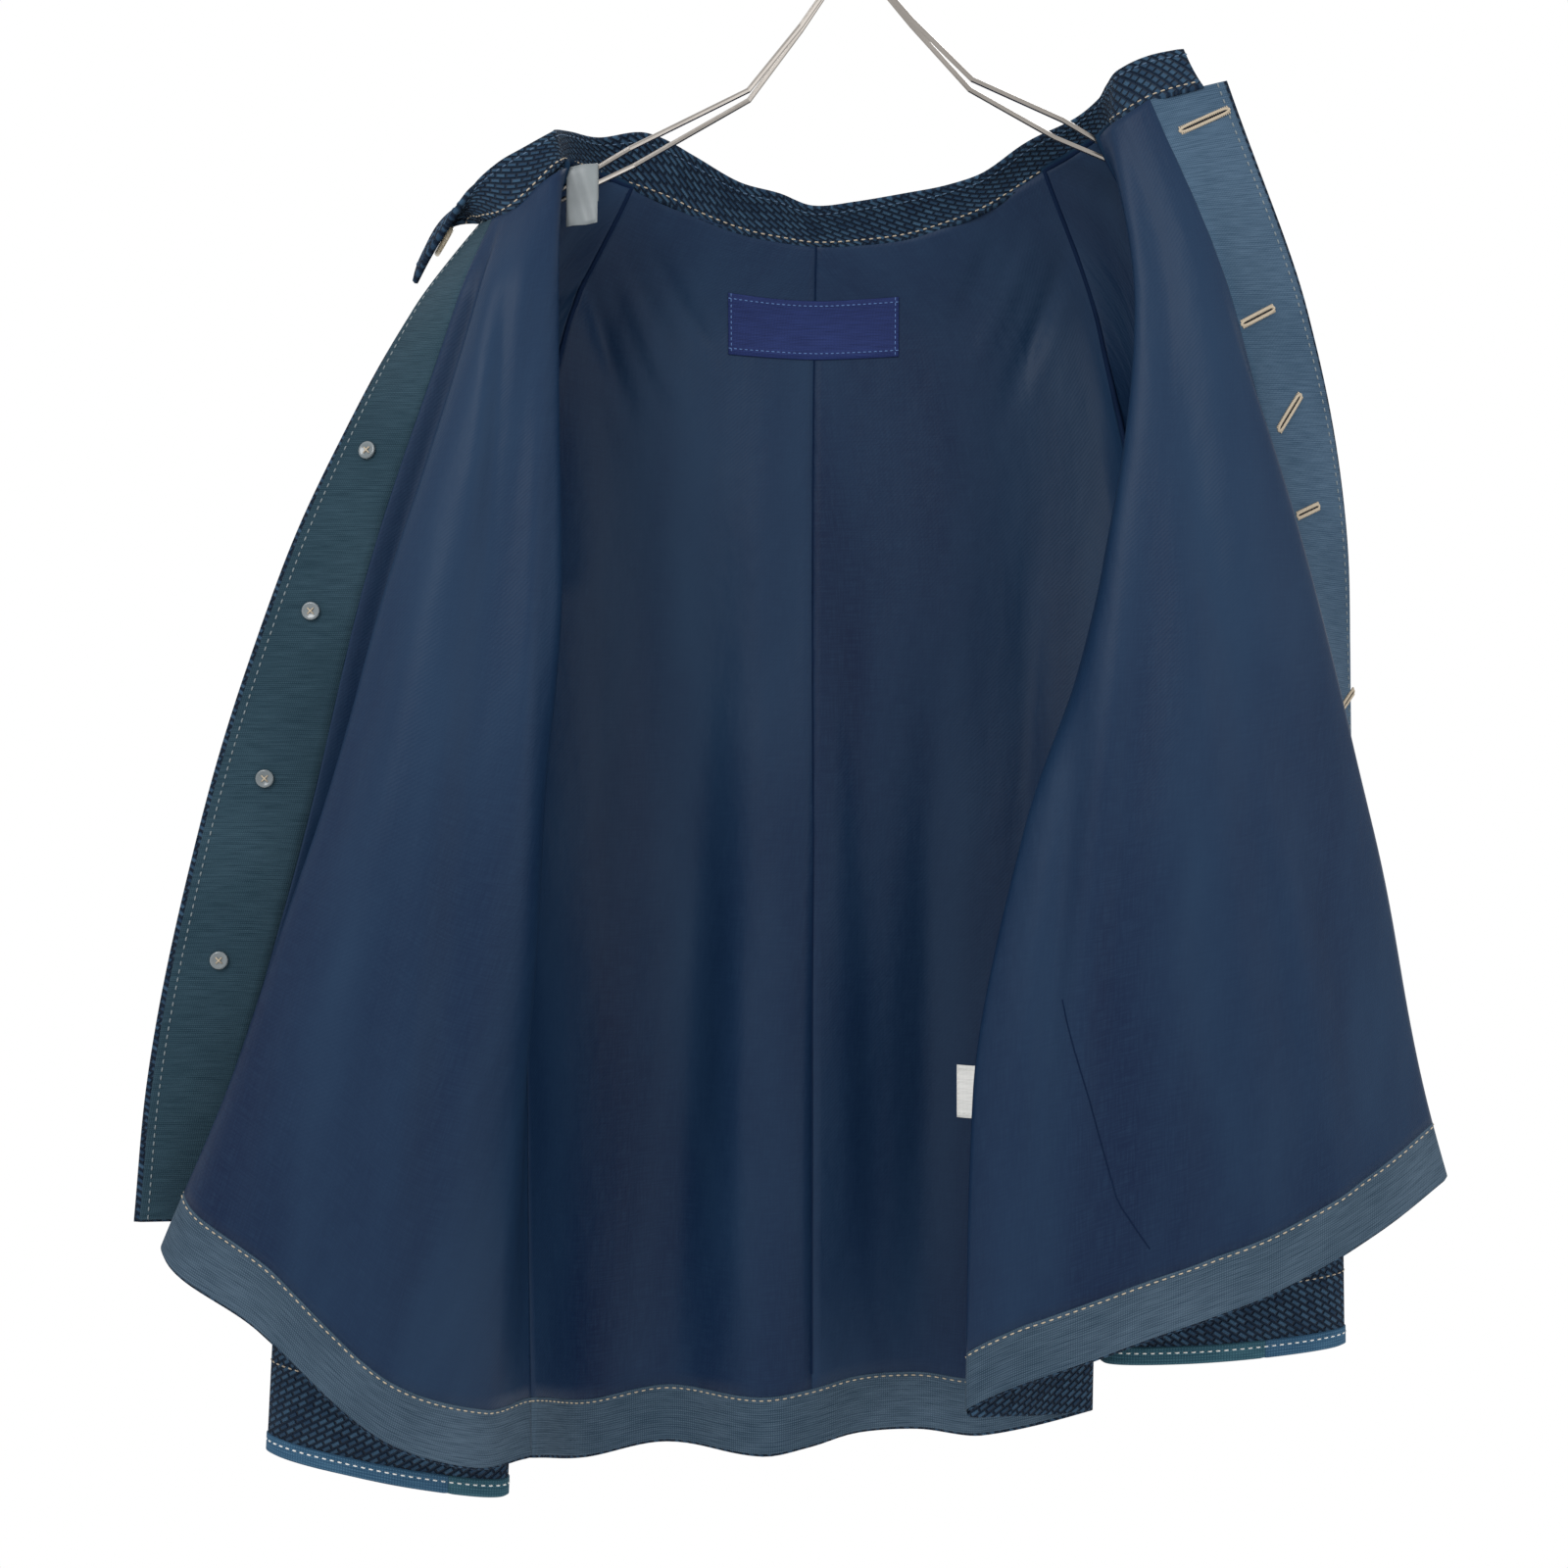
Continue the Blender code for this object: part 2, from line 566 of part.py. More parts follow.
def column_at(rows, along, wanted):
    """Fractional column where a row of the back passes an x value."""
    for c in range(len(rows[0]) - 1):
        near = grid_at(rows, c, along).x
        far = grid_at(rows, c + 1, along).x
        if near <= wanted <= far:
            return c + (wanted - near) / (far - near)
    return 0.0


def patch(name, rows, normals, box, colour, collection):
    """Bare cloth label lying on the back lining."""
    left, right, top, bottom = box
    face = moved(rows, normals, -(LAYER_GAP + LINING_THICK + SEAM_GAP))
    middle = BACK_CENTRE
    along_top = row_at_height(face, middle, top)
    along_bottom = row_at_height(face, middle, bottom)
    breaks = sorted({along_top, along_bottom, *(r for r in range(len(rows)) if along_top < r < along_bottom)})
    edges = [(column_at(face, along, left), column_at(face, along, right)) for along in breaks]
    first_inside = max(first for first, last in edges) + 0.1
    last_inside = min(last for first, last in edges) - 0.1
    inside = [c for c in range(len(rows[0])) if first_inside < c < last_inside]
    layers = []
    for raised in (0.0, LABEL_THICK):
        raised_face = moved(face, normals, -raised)
        layers.append([
            [grid_at(raised_face, across, along) for across in (first, *inside, last)]
            for along, (first, last) in zip(breaks, edges)
        ])
    cloth(name, *layers, colour, collection)


def frame_at(rows, across, along):
    """Point and outward direction on a grid."""
    step = 0.25
    point = grid_at(rows, across, along)
    right = grid_at(rows, across + step, along) - grid_at(rows, max(across - step, 0), along)
    down = grid_at(rows, across, along + step) - grid_at(rows, across, max(along - step, 0))
    return point, right.cross(down).normalized()


def turned(name, profile, steps, point, axis, colour, roughness, collection):
    """A turned trim whose own +Z lies along the given direction."""
    mesh = bpy.data.meshes.new(name)
    mesh.from_pydata([(x * MM, 0, z * MM) for x, z in profile], [(i, i + 1) for i in range(len(profile) - 1)], [])
    made = link(bpy.data.objects.new(name, mesh), collection, colour, roughness)
    spin = made.modifiers.new("turn", "SCREW")
    spin.steps = steps
    spin.render_steps = steps
    spin.use_merge_vertices = True
    spin.merge_threshold = 0.00001
    made.location = point * MM
    made.rotation_euler = axis.to_track_quat("Z", "Y").to_euler()
    return made


def button_profile():
    """Half outline of a shanked button, top centre to the end of its shank."""
    top = BUTTON_SHANK + BUTTON_THICK
    rim = BUTTON_RADIUS
    return (
        (0, top - 0.8), (rim * 0.6, top - 0.8), (rim * 0.75, top), (rim - 0.6, top), (rim, top - 0.8),
        (rim, BUTTON_SHANK + 0.8), (rim - 0.8, BUTTON_SHANK), (SHANK_RADIUS, BUTTON_SHANK), (SHANK_RADIUS, 0), (0, 0),
    )


def backing_profile():
    """Half outline of the small clear button behind the facing."""
    return ((0, BACKING_THICK), (BACKING_RADIUS, BACKING_THICK), (BACKING_RADIUS, 0), (0, 0))


def buttons(left, collar_rows, collection):
    """Four front buttons with their backing buttons, and the button of the collar."""
    clear_out = SHELL_THICK + LAYER_GAP + 2 * SEAM_GAP
    clear_in = LINING_THICK + LAYER_GAP + 2 * SEAM_GAP
    across = LEFT_STEPS[0] / 2
    for number, height in enumerate(BUTTON_HEIGHTS, 1):
        point, outward = frame_at(left, across, row_at_height(left, across, height))
        turned(
            f"button_front_{number}", button_profile(), 16, point + outward * clear_out, outward,
            BUTTON_CREAM, 0.35, collection,
        )
        turned(
            f"button_backing_{number}", backing_profile(), 12, point - outward * clear_in, -outward,
            BUTTON_CLEAR, 0.2, collection,
        )
    point, outward = frame_at(collar_rows, 1.6, 1.1)
    seat = point - outward * (COLLAR_THICK / 2 + SEAM_GAP)
    turned("button_collar", button_profile(), 16, seat, -outward, BUTTON_CREAM, 0.35, collection)


def tube(name, points, radius, cyclic, colour, roughness, metallic, collection):
    """Round wire along the points."""
    data = bpy.data.curves.new(name, "CURVE")
    data.dimensions = "3D"
    data.bevel_depth = radius * MM
    data.bevel_resolution = 2
    data.use_fill_caps = True
    spline = data.splines.new("POLY")
    spline.points.add(len(points) - 1)
    for target, point in zip(spline.points, points):
        target.co = (*(point * MM), 1.0)
    spline.use_cyclic_u = cyclic
    return link(bpy.data.objects.new(name, data), collection, colour, roughness, metallic)


def shoulder_wire(rows, normals, ring, kink, slack):
    """One arm of the hanger seen from above: its end rests under the sleeve's shoulder."""
    crown = sorted(range(len(rows[ring])), key=lambda index: -rows[ring][index].z)[:12]
    top = min(crown, key=lambda index: abs(rows[ring][index].y))
    rest = LINING_THICK + LAYER_GAP + WIRE_RADIUS + slack
    seat = rows[ring][top] - normals[ring][top] * rest
    tip = Vector((seat.x, 0.0, seat.z))
    inward = Vector((kink[0], 0.0, kink[1])) - tip
    run = Vector((math.copysign(1.0, inward.x), 0.0, inward.z / abs(inward.x)))
    turn_centre = tip + run * END_SPREAD
    wide = tip.lerp(Vector((kink[0], 0.0, kink[1])), 0.5)
    arc = [wide + Vector((0, -WIRE_SPREAD, 0))]
    for step in range(7):
        angle = math.pi * step / 6
        sideways = Vector((0, -END_SPREAD * math.cos(angle), 0))
        arc.append(turn_centre - run * END_SPREAD * math.sin(angle) + sideways)
    arc.append(wide + Vector((0, WIRE_SPREAD, 0)))
    bend = Vector((kink[0], 0.0, kink[1]))
    return bend, arc


def hanger(left_sleeve, right_sleeve, collection):
    """Double-wire shoulder frame, ferrule and hook of the hanger."""
    left_bend, left_arc = shoulder_wire(*left_sleeve, 2, LEFT_KINK, LEFT_SLACK)
    right_bend, right_arc = shoulder_wire(*right_sleeve, 2, RIGHT_KINK, RIGHT_SLACK)
    near = 2.0
    path = []
    for bend, arc, order in ((left_bend, left_arc, 1), (right_bend, right_arc, -1)):
        sign = -order
        half_way = NECK.lerp(bend, 0.5)
        crest = Vector((NECK.x + (bend.x - NECK.x) * 0.08, 0, NECK.z - 2.0))
        inward = [crest + Vector((0, sign * near, 0)), half_way + Vector((0, sign * 4.0, 0)),
                  bend + Vector((0, sign * 9.0, 0))]
        outward = [point.copy() for point in reversed(inward)]
        for point in outward:
            point.y = -point.y
        walk = arc if order == 1 else list(reversed(arc))
        path += inward + walk + outward
    tube("hanger_frame", path, WIRE_RADIUS, True, CHROME, 0.15, 1.0, collection)

    foot = NECK.z + WIRE_RADIUS + SEAM_GAP
    shape = bmesh.new()
    bmesh.ops.create_cone(
        shape, cap_ends=True, segments=16, radius1=FERRULE_RADIUS * MM, radius2=FERRULE_RADIUS * 0.6 * MM,
        depth=FERRULE_LENGTH * MM,
    )
    mesh = bpy.data.meshes.new("hanger_ferrule")
    shape.to_mesh(mesh)
    shape.free()
    ferrule = link(bpy.data.objects.new("hanger_ferrule", mesh), collection, CHROME, 0.2, 1.0)
    ferrule.location = (NECK.x * MM, 0, (foot + FERRULE_LENGTH / 2) * MM)

    centre = Vector((0, 0, HOOK_WIRE_RADIUS - HOOK_RADIUS))
    top = foot + FERRULE_LENGTH + SEAM_GAP
    path = [Vector((NECK.x, 0, top)), Vector((NECK.x + 0.5, 0, top + 4)), Vector((NECK.x + 3, 0, top + 10))]
    for step in range(15):
        angle = math.radians(-38 + 240 * step / 14)
        path.append(centre + Vector((HOOK_RADIUS * math.cos(angle), 0, HOOK_RADIUS * math.sin(angle))))
    tube("hanger_hook", path, HOOK_WIRE_RADIUS, False, CHROME, 0.15, 1.0, collection)

    shape = bmesh.new()
    bmesh.ops.create_cube(shape, size=1.0)
    bmesh.ops.scale(shape, vec=(13 * MM, 1.5 * MM, 34 * MM), verts=shape.verts)
    mesh = bpy.data.meshes.new("hanger_clip")
    shape.to_mesh(mesh)
    shape.free()
    clip = link(bpy.data.objects.new("hanger_clip", mesh), collection, FROSTED, 0.4)
    clip.location = (-140.5 * MM, -(WIRE_SPREAD + WIRE_RADIUS + SEAM_GAP + 0.75) * MM, -217 * MM)


def main():
    for old in list(bpy.data.objects):
        bpy.data.objects.remove(old)
    garment = bpy.data.collections.new("kendo_jacket")
    bpy.context.scene.collection.children.link(garment)
    grids = body_grids()
    left, back, right = grids
    body(grids, garment)
    seam_left = armhole(left, -1, back, 0, SLEEVE_NECK_LEFT)
    seam_right = armhole(right, 0, back, -1, SLEEVE_NECK_RIGHT)
    left_sleeve = sleeve("left", seam_left, SLEEVE_LEFT, False, (3, 20), garment)
    right_sleeve = sleeve("right", seam_right, SLEEVE_RIGHT, True, (6, 24), garment)
    collar_rows = collar(garment)
    back_normals = surface_normals(back, low_side=left, high_side=right)
    patch("label_patch", back, back_normals, LABEL_BOX, LABEL_NAVY, garment)
    patch("care_label", back, back_normals, CARE_BOX, CARE_WHITE, garment)
    buttons(left, collar_rows, garment)
    hanger(left_sleeve, right_sleeve, garment)


main()
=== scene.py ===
"""Looks of the hung jacket: fine cloth over the solids' form, its weaves, stitches and studio.

The surface tables are those of the solids, in millimetres, with finer steps.
"""
import math

import bmesh
import bpy
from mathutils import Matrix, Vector, noise


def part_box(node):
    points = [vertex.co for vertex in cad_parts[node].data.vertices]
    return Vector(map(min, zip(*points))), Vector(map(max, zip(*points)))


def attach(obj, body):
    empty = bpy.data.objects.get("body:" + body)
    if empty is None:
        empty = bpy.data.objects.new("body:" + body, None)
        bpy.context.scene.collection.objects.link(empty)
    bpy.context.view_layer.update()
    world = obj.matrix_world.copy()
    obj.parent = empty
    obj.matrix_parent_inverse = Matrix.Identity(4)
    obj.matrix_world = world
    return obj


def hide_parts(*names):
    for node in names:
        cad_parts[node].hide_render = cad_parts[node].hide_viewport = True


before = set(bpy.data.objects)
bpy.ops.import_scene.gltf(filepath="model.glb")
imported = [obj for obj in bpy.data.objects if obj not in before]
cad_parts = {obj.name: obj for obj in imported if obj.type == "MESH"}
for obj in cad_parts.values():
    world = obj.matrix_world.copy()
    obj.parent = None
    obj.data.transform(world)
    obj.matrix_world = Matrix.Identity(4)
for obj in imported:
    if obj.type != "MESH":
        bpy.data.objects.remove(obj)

MM = 0.001

# Cloth
SHELL_THICK = 2.0
LINING_THICK = 1.0
COLLAR_THICK = 3.4
BINDING_THICK = 3.6
LABEL_THICK = 0.5
LAYER_GAP = 0.15
SEAM_GAP = 0.3
EDGE_SHOWS = 3.0
HEM_BAND = 34.0
HEM_SHOWS = 1.5
CUFF_BINDING = 9.5
LINED_RINGS = 6

# How far each of the first sleeve rings has rounded off from the armhole's own outline
ROUNDING = (0.15, 0.35, 0.6, 0.8, 0.95)

# Trims
BUTTON_RADIUS = 9.5
BUTTON_THICK = 3.0
BUTTON_SHANK = 3.0
SHANK_RADIUS = 1.2
BACKING_RADIUS = 5.0
BACKING_THICK = 1.6
BUTTON_HEIGHTS = (-361.0, -449.0, -541.0, -641.0)
LABEL_BOX = (-61.0, 40.0, -258.0, -292.0)
CARE_BOX = (75.0, 98.0, -712.0, -743.0)

# Mesh steps: the solids' own, each cut finer
ROW_FINE = 8
COLUMN_FINE = 5
RING_FINE = 5
COLLAR_FINE = 4
LEFT_STEPS = tuple(COLUMN_FINE * step for step in (2, 3, 4, 4, 2, 3, 3))
BACK_STEPS = tuple(COLUMN_FINE * step for step in (2, 2, 2, 1, 1, 2, 2, 3, 3, 2))
RIGHT_STEPS = tuple(COLUMN_FINE * step for step in (3, 4, 2, 3, 3, 2))
BACK_CENTRE = sum(BACK_STEPS[:4])
MARKS = (0, 0.045, 0.10, 0.17, 0.25, 0.333, 0.41, 0.49, 0.57, 0.65, 0.73, 0.81, 0.90, 1, 1.5, 2)
LENGTHWISE = [
    low + (high - low) * step / ROW_FINE
    for low, high in zip(MARKS, MARKS[1:])
    for step in range(ROW_FINE)
] + [MARKS[-1]]
UNDERARM_ROW = 5 * ROW_FINE
HEM_ROW = 13 * ROW_FINE

# Each fold: its name, its neckline point, its place at the four levels, its hem point
LEVELS = (-280.0, -430.0, -570.0, -710.0)
FRONT_LEFT = (
    ("edge", (-198, 0, -226), (-238, -12), (-306, -36), (-350, -36), (-379, -34), (-387, -30, -786)),
    ("facing_seam", (-189, -26, -231), (-206, -44), (-257, -38), (-292, -32), (-332, -26), (-354, -20, -788)),
    ("valley", (-184, -30, -230), (-195, -46), (-242, -38), (-277, -32), (-317, -26), (-340, -21, -792)),
    ("roll", (-180, -32, -229), (-192, -54), (-237, -66), (-279, -66), (-327, -62), (-366, -50, -799)),
    ("outer_fold", (-171, -33, -222), (-179, -62), (-208, -78), (-238, -84), (-274, -84), (-308, -76, -835)),
    ("inner_fold", (-162, -34, -214), (-164, -60), (-177, -74), (-197, -82), (-220, -84), (-245, -72, -894)),
    ("fold_edge", (-153, -31, -206), (-151, -50), (-148, -60), (-160, -60), (-173, -52), (-197, -42, -919)),
    ("seam", (-149, -20, -200), (-169, -32), (-182, 12), (-179, 12), (-175, 5), (-171, -8, -923)),
)
BACK = (
    ("seam_left", (-117, 39, -196), (-157, 50), (-182, 12), (-179, 12), (-175, 5), (-171, -8, -923)),
    ("left_1", (-88, 45, -207), (-130, 62), (-137, 58), (-141, 52), (-143, 50), (-143, 40, -937)),
    ("left_2", (-55, 51, -218), (-80, 62), (-83, 64), (-86, 66), (-92, 68), (-98, 60, -934)),
    ("left_3", (-28, 54, -224), (-40, 62), (-41, 60), (-42, 52), (-45, 42), (-41, 30, -934)),
    ("centre", (-9, 54, -226), (-10, 62), (-11, 60), (-11, 52), (-12, 44), (-12, 38, -931)),
    ("right_1", (14, 54, -225), (14, 62), (15, 62), (14, 60), (15, 58), (16, 55, -927)),
    ("right_2", (44, 52, -222), (59, 60), (66, 60), (62, 64), (54, 66), (51, 62, -927)),
    ("right_3", (67, 48, -216), (115, 62), (123, 60), (111, 56), (97, 58), (88, 52, -928)),
    ("turn", (92, 44, -205), (138, 59), (167, 44), (161, 24), (152, 14), (145, 8, -901)),
    ("low_fold", (108, 41, -196), (150, 56), (176, 28), (142, -8), (128, -14), (122, -12, -897)),
    ("seam_right", (124, 39, -186), (159, 50), (178, 12), (122, -36), (102, -38), (96, -32, -892)),
)
FRONT_RIGHT = (
    ("seam", (148, -18, -184), (184, -28), (178, 12), (122, -36), (102, -38), (96, -32, -892)),
    ("fold_edge", (153, -29, -180), (164, -46), (146, -58), (104, -58), (77, -58), (72, -46, -886)),
    ("inner_fold", (158, -33, -177), (182, -54), (176, -72), (160, -78), (150, -74), (150, -64, -850)),
    ("outer_fold", (163, -35, -174), (197, -56), (216, -74), (226, -82), (235, -78), (240, -68, -815)),
    ("roll", (168, -36, -171), (207, -54), (253, -64), (288, -58), (318, -48), (335, -36, -763)),
    ("facing_seam", (173, -36, -168), (214, -50), (252, -42), (287, -34), (317, -22), (333, -10, -762)),
    ("edge", (218, -26, -154), (264, -18), (294, 4), (299, 18), (314, 26), (328, 34, -772)),
)

# Neck edge of each raglan sleeve, from its front seam to its back seam
SLEEVE_NECK_LEFT = ((-151, -3, -193), (-149, 10, -190), (-145, 22, -190), (-138, 31, -190), (-128, 37, -192))
SLEEVE_NECK_RIGHT = ((156, -6, -174), (160, 8, -170), (156, 21, -170), (147, 31, -174), (136, 36, -180))

# Sleeve rings: outer x and z, inner x and z, middle y, half depth, squareness
SLEEVE_LEFT = (
    (-165, -202, -190, -436, 9, 40, 0.50),
    (-180, -221, -191, -441, 11, 39, 0.55),
    (-192, -247, -192, -449, 13, 37, 0.65),
    (-208, -283, -192, -461, 14, 35, 0.80),
    (-230, -330, -192, -476, 15, 33, 0.90),
    (-258, -380, -191, -498, 15, 31, 1.00),
    (-278, -438, -189, -528, 15, 30, 1.00),
    (-291, -502, -188, -570, 15, 30, 1.00),
    (-300, -576, -187, -622, 16, 29, 1.00),
    (-306, -655, -186, -682, 17, 27, 1.00),
    (-312, -735, -185, -750, 18, 25, 1.00),
    (-318, -812, -186, -830, 19, 23, 1.00),
    (-323, -916, -189, -942, 20, 19, 1.00),
)
SLEEVE_RIGHT = (
    (169, -182, 186, -436, 9, 40, 0.50),
    (180, -194, 188, -441, 11, 39, 0.55),
    (194, -219, 188, -449, 13, 37, 0.65),
    (210, -254, 188, -461, 14, 35, 0.80),
    (230, -303, 187, -476, 15, 33, 0.90),
    (250, -360, 184, -496, 15, 31, 1.00),
    (266, -424, 179, -522, 14, 30, 1.00),
    (276, -492, 174, -560, 14, 30, 1.00),
    (282, -560, 169, -606, 14, 29, 1.00),
    (286, -630, 165, -662, 14, 27, 1.00),
    (289, -700, 162, -722, 15, 25, 1.00),
    (291, -775, 160, -790, 18, 23, 1.00),
    (293, -855, 157, -866, 21, 19, 1.00),
)

# Collar stations: lower edge, upper edge, and how far the middle bows from their chord
COLLAR = (
    ((-200, 3, -221), (-236, -5, -261), (-9, 19, 14)),
    ((-199, -2, -221), (-228, -6, -246), (-8, 16, 14)),
    ((-197, -8, -222), (-218, -8, -230), (-6, 12, 10)),
    ((-192, -18, -226), (-204, -12, -211), (-3, 6, 3)),
    ((-181, -30, -227), (-187, -22, -199), (0, 2, 0)),
    ((-168, -33, -217), (-172, -27, -192), (0, 1, 0)),
    ((-154, -29, -200), (-158, -26, -184), (0, 1, 0)),
    ((-152, -14, -193), (-156, -12, -178), (0, 1, 0)),
    ((-148, 12, -188), (-150, 12, -172), (0, 1, 0)),
    ((-131, 37, -189), (-135, 30, -170), (0, 2, 0)),
    ((-112, 40, -196), (-112, 33, -166), (0, 3, 0)),
    ((-98, 42, -201), (-98, 36, -169), (0, 3, 0)),
    ((-76, 48, -210), (-80, 40, -178), (0, 3, 0)),
    ((-50, 52, -218), (-54, 44, -192), (0, 3, 0)),
    ((-28, 54, -222), (-30, 46, -198), (0, 3, 0)),
    ((-9, 54, -224), (-11, 46, -205), (0, 3, 0)),
    ((14, 54, -223), (13, 46, -203), (0, 3, 0)),
    ((44, 52, -220), (44, 45, -198), (0, 3, 0)),
    ((67, 48, -214), (68, 42, -194), (0, 3, 0)),
    ((89, 43, -206), (89, 36, -188), (0, 3, 0)),
    ((120, 41, -187), (114, 34, -171), (0, 3, 0)),
    ((146, 33, -172), (140, 26, -160), (0, 2, 0)),
    ((158, 17, -168), (153, 14, -152), (0, 1, 0)),
    ((159, -4, -169), (156, -6, -149), (0, 1, 0)),
    ((157, -24, -174), (160, -20, -146), (0, 2, 0)),
    ((176, -35, -165), (174, -26, -141), (0, 2, 0)),
    ((203, -31, -156), (193, -26, -137), (0, 2, 0)),
)
COLLAR_ROWS = 16

# Photograph's camera: size and focal length in its pixels, sensor and place in millimetres
PHOTO_SIZE = 1600
PHOTO_FOCAL = 2252.25
CAMERA_DISTANCE = 1250.0
CAMERA_X = -28.0
CAMERA_Z = -544.0
SENSOR = 36.0

# Finish
UNEVEN = 1.6
EDGE_ROUND = 0.3
WRAP_JUMP = 0.2
LEAST_SHARE = 0.45  # of a sheet's width times length, see flat_size
STITCH_LENGTH = 3.0
STITCH_GAP = 1.6
STITCH_RADIUS = 0.45
STITCH_SIDES = 5
SIDE_SEAM_STEPS = 24
LEAST_HALF_HOLE = 11.0
HOLE_STEPS = 40
HOLE_TEETH = 26
BUTTON_SIDES = 48
BACKING_SIDES = 40
CLIP_STEPS = 10
COLLAR_LAP = 3.2
GRAIN_LENGTH = 0.0064
GRAIN_ROW = 0.0034
GRAIN_TURN = 0.62
WAVE_SPAN = 0.314  # length of one wave of the wave texture at scale 1
KENDO_DARK = (0.002, 0.006, 0.018)
KENDO_MID = (0.010, 0.026, 0.054)
KENDO_LIGHT = (0.036, 0.078, 0.130)
# Satin lining colours: its dark bands are painted shade, its light bands painted sheen
LINING_SHADED_BAND = (0.0012, 0.0080, 0.0310)
LINING_SHEEN_BAND = (0.0100, 0.0290, 0.0640)
WORLD_LIGHT = 1.0
LIGHTS = (
    ("key", (-1.1, -1.9, 0.9), 1.2, 34.0),
    ("fill", (1.4, -1.6, -0.2), 1.6, 10.0),
    ("rim", (0.4, 1.6, 0.8), 1.2, 16.0),
)
LIT_SPOT = (-0.02, 0, -0.5)
FLOOR_RADIUS = 1.5
FLOOR_HEIGHT = -1.6

# Creases: one end, other end, half width and height, on the left front, the back and the right front
BODY_CREASES = (
    (
        ((-169, -283), (-221, -805), 15, 3.0),
        ((-195, -346), (-273, -727), 17, -2.6),
        ((-176, -240), (-186, -420), 8, 2.4),
        ((-230, -420), (-330, -780), 16, 2.2),
        ((-158, -300), (-170, -640), 9, -2.2),
        ((-240, -620), (-262, -840), 13, 2.8),
    ),
    (
        ((-148, -239), (-118, -330), 8, 3.0),
        ((-128, -236), (-92, -318), 7, -2.4),
        ((-106, -230), (-70, -290), 6, 1.8),
        ((138, -232), (104, -322), 8, 3.0),
        ((118, -226), (84, -300), 7, -2.2),
        ((96, -222), (70, -280), 6, 1.6),
        ((2, -486), (12, -880), 14, -2.6),
        ((-70, -420), (-96, -860), 22, 2.8),
        ((-128, -380), (-120, -720), 16, -2.0),
        ((62, -440), (56, -880), 18, 3.0),
        ((120, -400), (112, -640), 12, 2.4),
        ((-20, -300), (-26, -560), 16, 1.6),
        ((-40, -640), (-36, -900), 12, 2.6),
    ),
    (
        ((172, -228), (230, -649), 16, 2.8),
        ((156, -386), (119, -807), 14, -2.8),
        ((209, -439), (288, -702), 18, 2.4),
        ((130, -500), (96, -860), 10, 2.2),
        ((190, -560), (206, -820), 16, 2.8),
        ((240, -560), (270, -780), 14, -2.4),
    ),
)
SLEEVE_CREASES_LEFT = (
    ((-280, -520), (-190, -600), 12, 2.4),
    ((-290, -580), (-200, -640), 10, -2.2),
    ((-296, -640), (-210, -690), 12, 2.0),
    ((-250, -300), (-200, -460), 14, 2.6),
)
SLEEVE_CREASES_RIGHT = (
    ((270, -500), (180, -580), 12, 2.4),
    ((280, -560), (190, -620), 10, -2.2),
    ((284, -620), (176, -670), 12, 2.0),
    ((236, -290), (196, -450), 14, 2.6),
)

# Ends of the side seam that shows on the right front, in the photograph's pixels
SIDE_SEAM = ((1085, 1020), (1173, 1274))

# Buttonholes: both ends in the photograph's pixels
BUTTONHOLES = (
    ((1203, 135), (1253, 113)),
    ((1265, 332), (1298, 315)),
    ((1303, 440), (1325, 403)),
    ((1323, 527), (1342, 517)),
    ((1369, 720), (1380, 706)),
)


def monotone(knots, values, at):
    """Smooth curve through the values that never swings past them."""
    count = len(knots)
    steps = [knots[i + 1] - knots[i] for i in range(count - 1)]
    rates = [(values[i + 1] - values[i]) / steps[i] for i in range(count - 1)]
    slopes = [rates[0]]
    for before, after in zip(rates, rates[1:]):
        slopes.append(0.0 if before * after <= 0 else 2 * before * after / (before + after))
    slopes.append(rates[-1])
    piece = 0
    while piece < count - 2 and at > knots[piece + 1]:
        piece += 1
    width = steps[piece]
    u = (at - knots[piece]) / width
    rise = (2 * u ** 3 - 3 * u ** 2 + 1) * values[piece] + (3 * u ** 2 - 2 * u ** 3) * values[piece + 1]
    lean = (u ** 3 - 2 * u ** 2 + u) * slopes[piece] + (u ** 3 - u ** 2) * slopes[piece + 1]
    return rise + lean * width


def fold_point(fold, lengthwise):
    """Point on one fold: 0 is the neckline, 1 the top of the hem band and 2 the hem."""
    neck = Vector(fold[1])
    hem = Vector(fold[6])
    depths = [-neck.z, *(-level for level in LEVELS), -hem.z]
    across = [neck.x, *(place[0] for place in fold[2:6]), hem.x]
    away = [neck.y, *(place[1] for place in fold[2:6]), hem.y]
    stations = [Vector(three) for three in zip(across, away, depths)]
    run = sum((b - a).length for a, b in zip(stations, stations[1:]))
    band = HEM_BAND * (depths[-1] - depths[0]) / run
    underarm = LENGTHWISE[UNDERARM_ROW]
    marks = ((0, depths[0]), (underarm, -LEVELS[1]), (1, depths[-1] - band), (2, depths[-1]))
    for (low, start), (high, stop) in zip(marks, marks[1:]):
        if low <= lengthwise <= high:
            depth = start + (stop - start) * (lengthwise - low) / (high - low)
    return Vector((monotone(depths, across, depth), monotone(depths, away, depth), -depth))


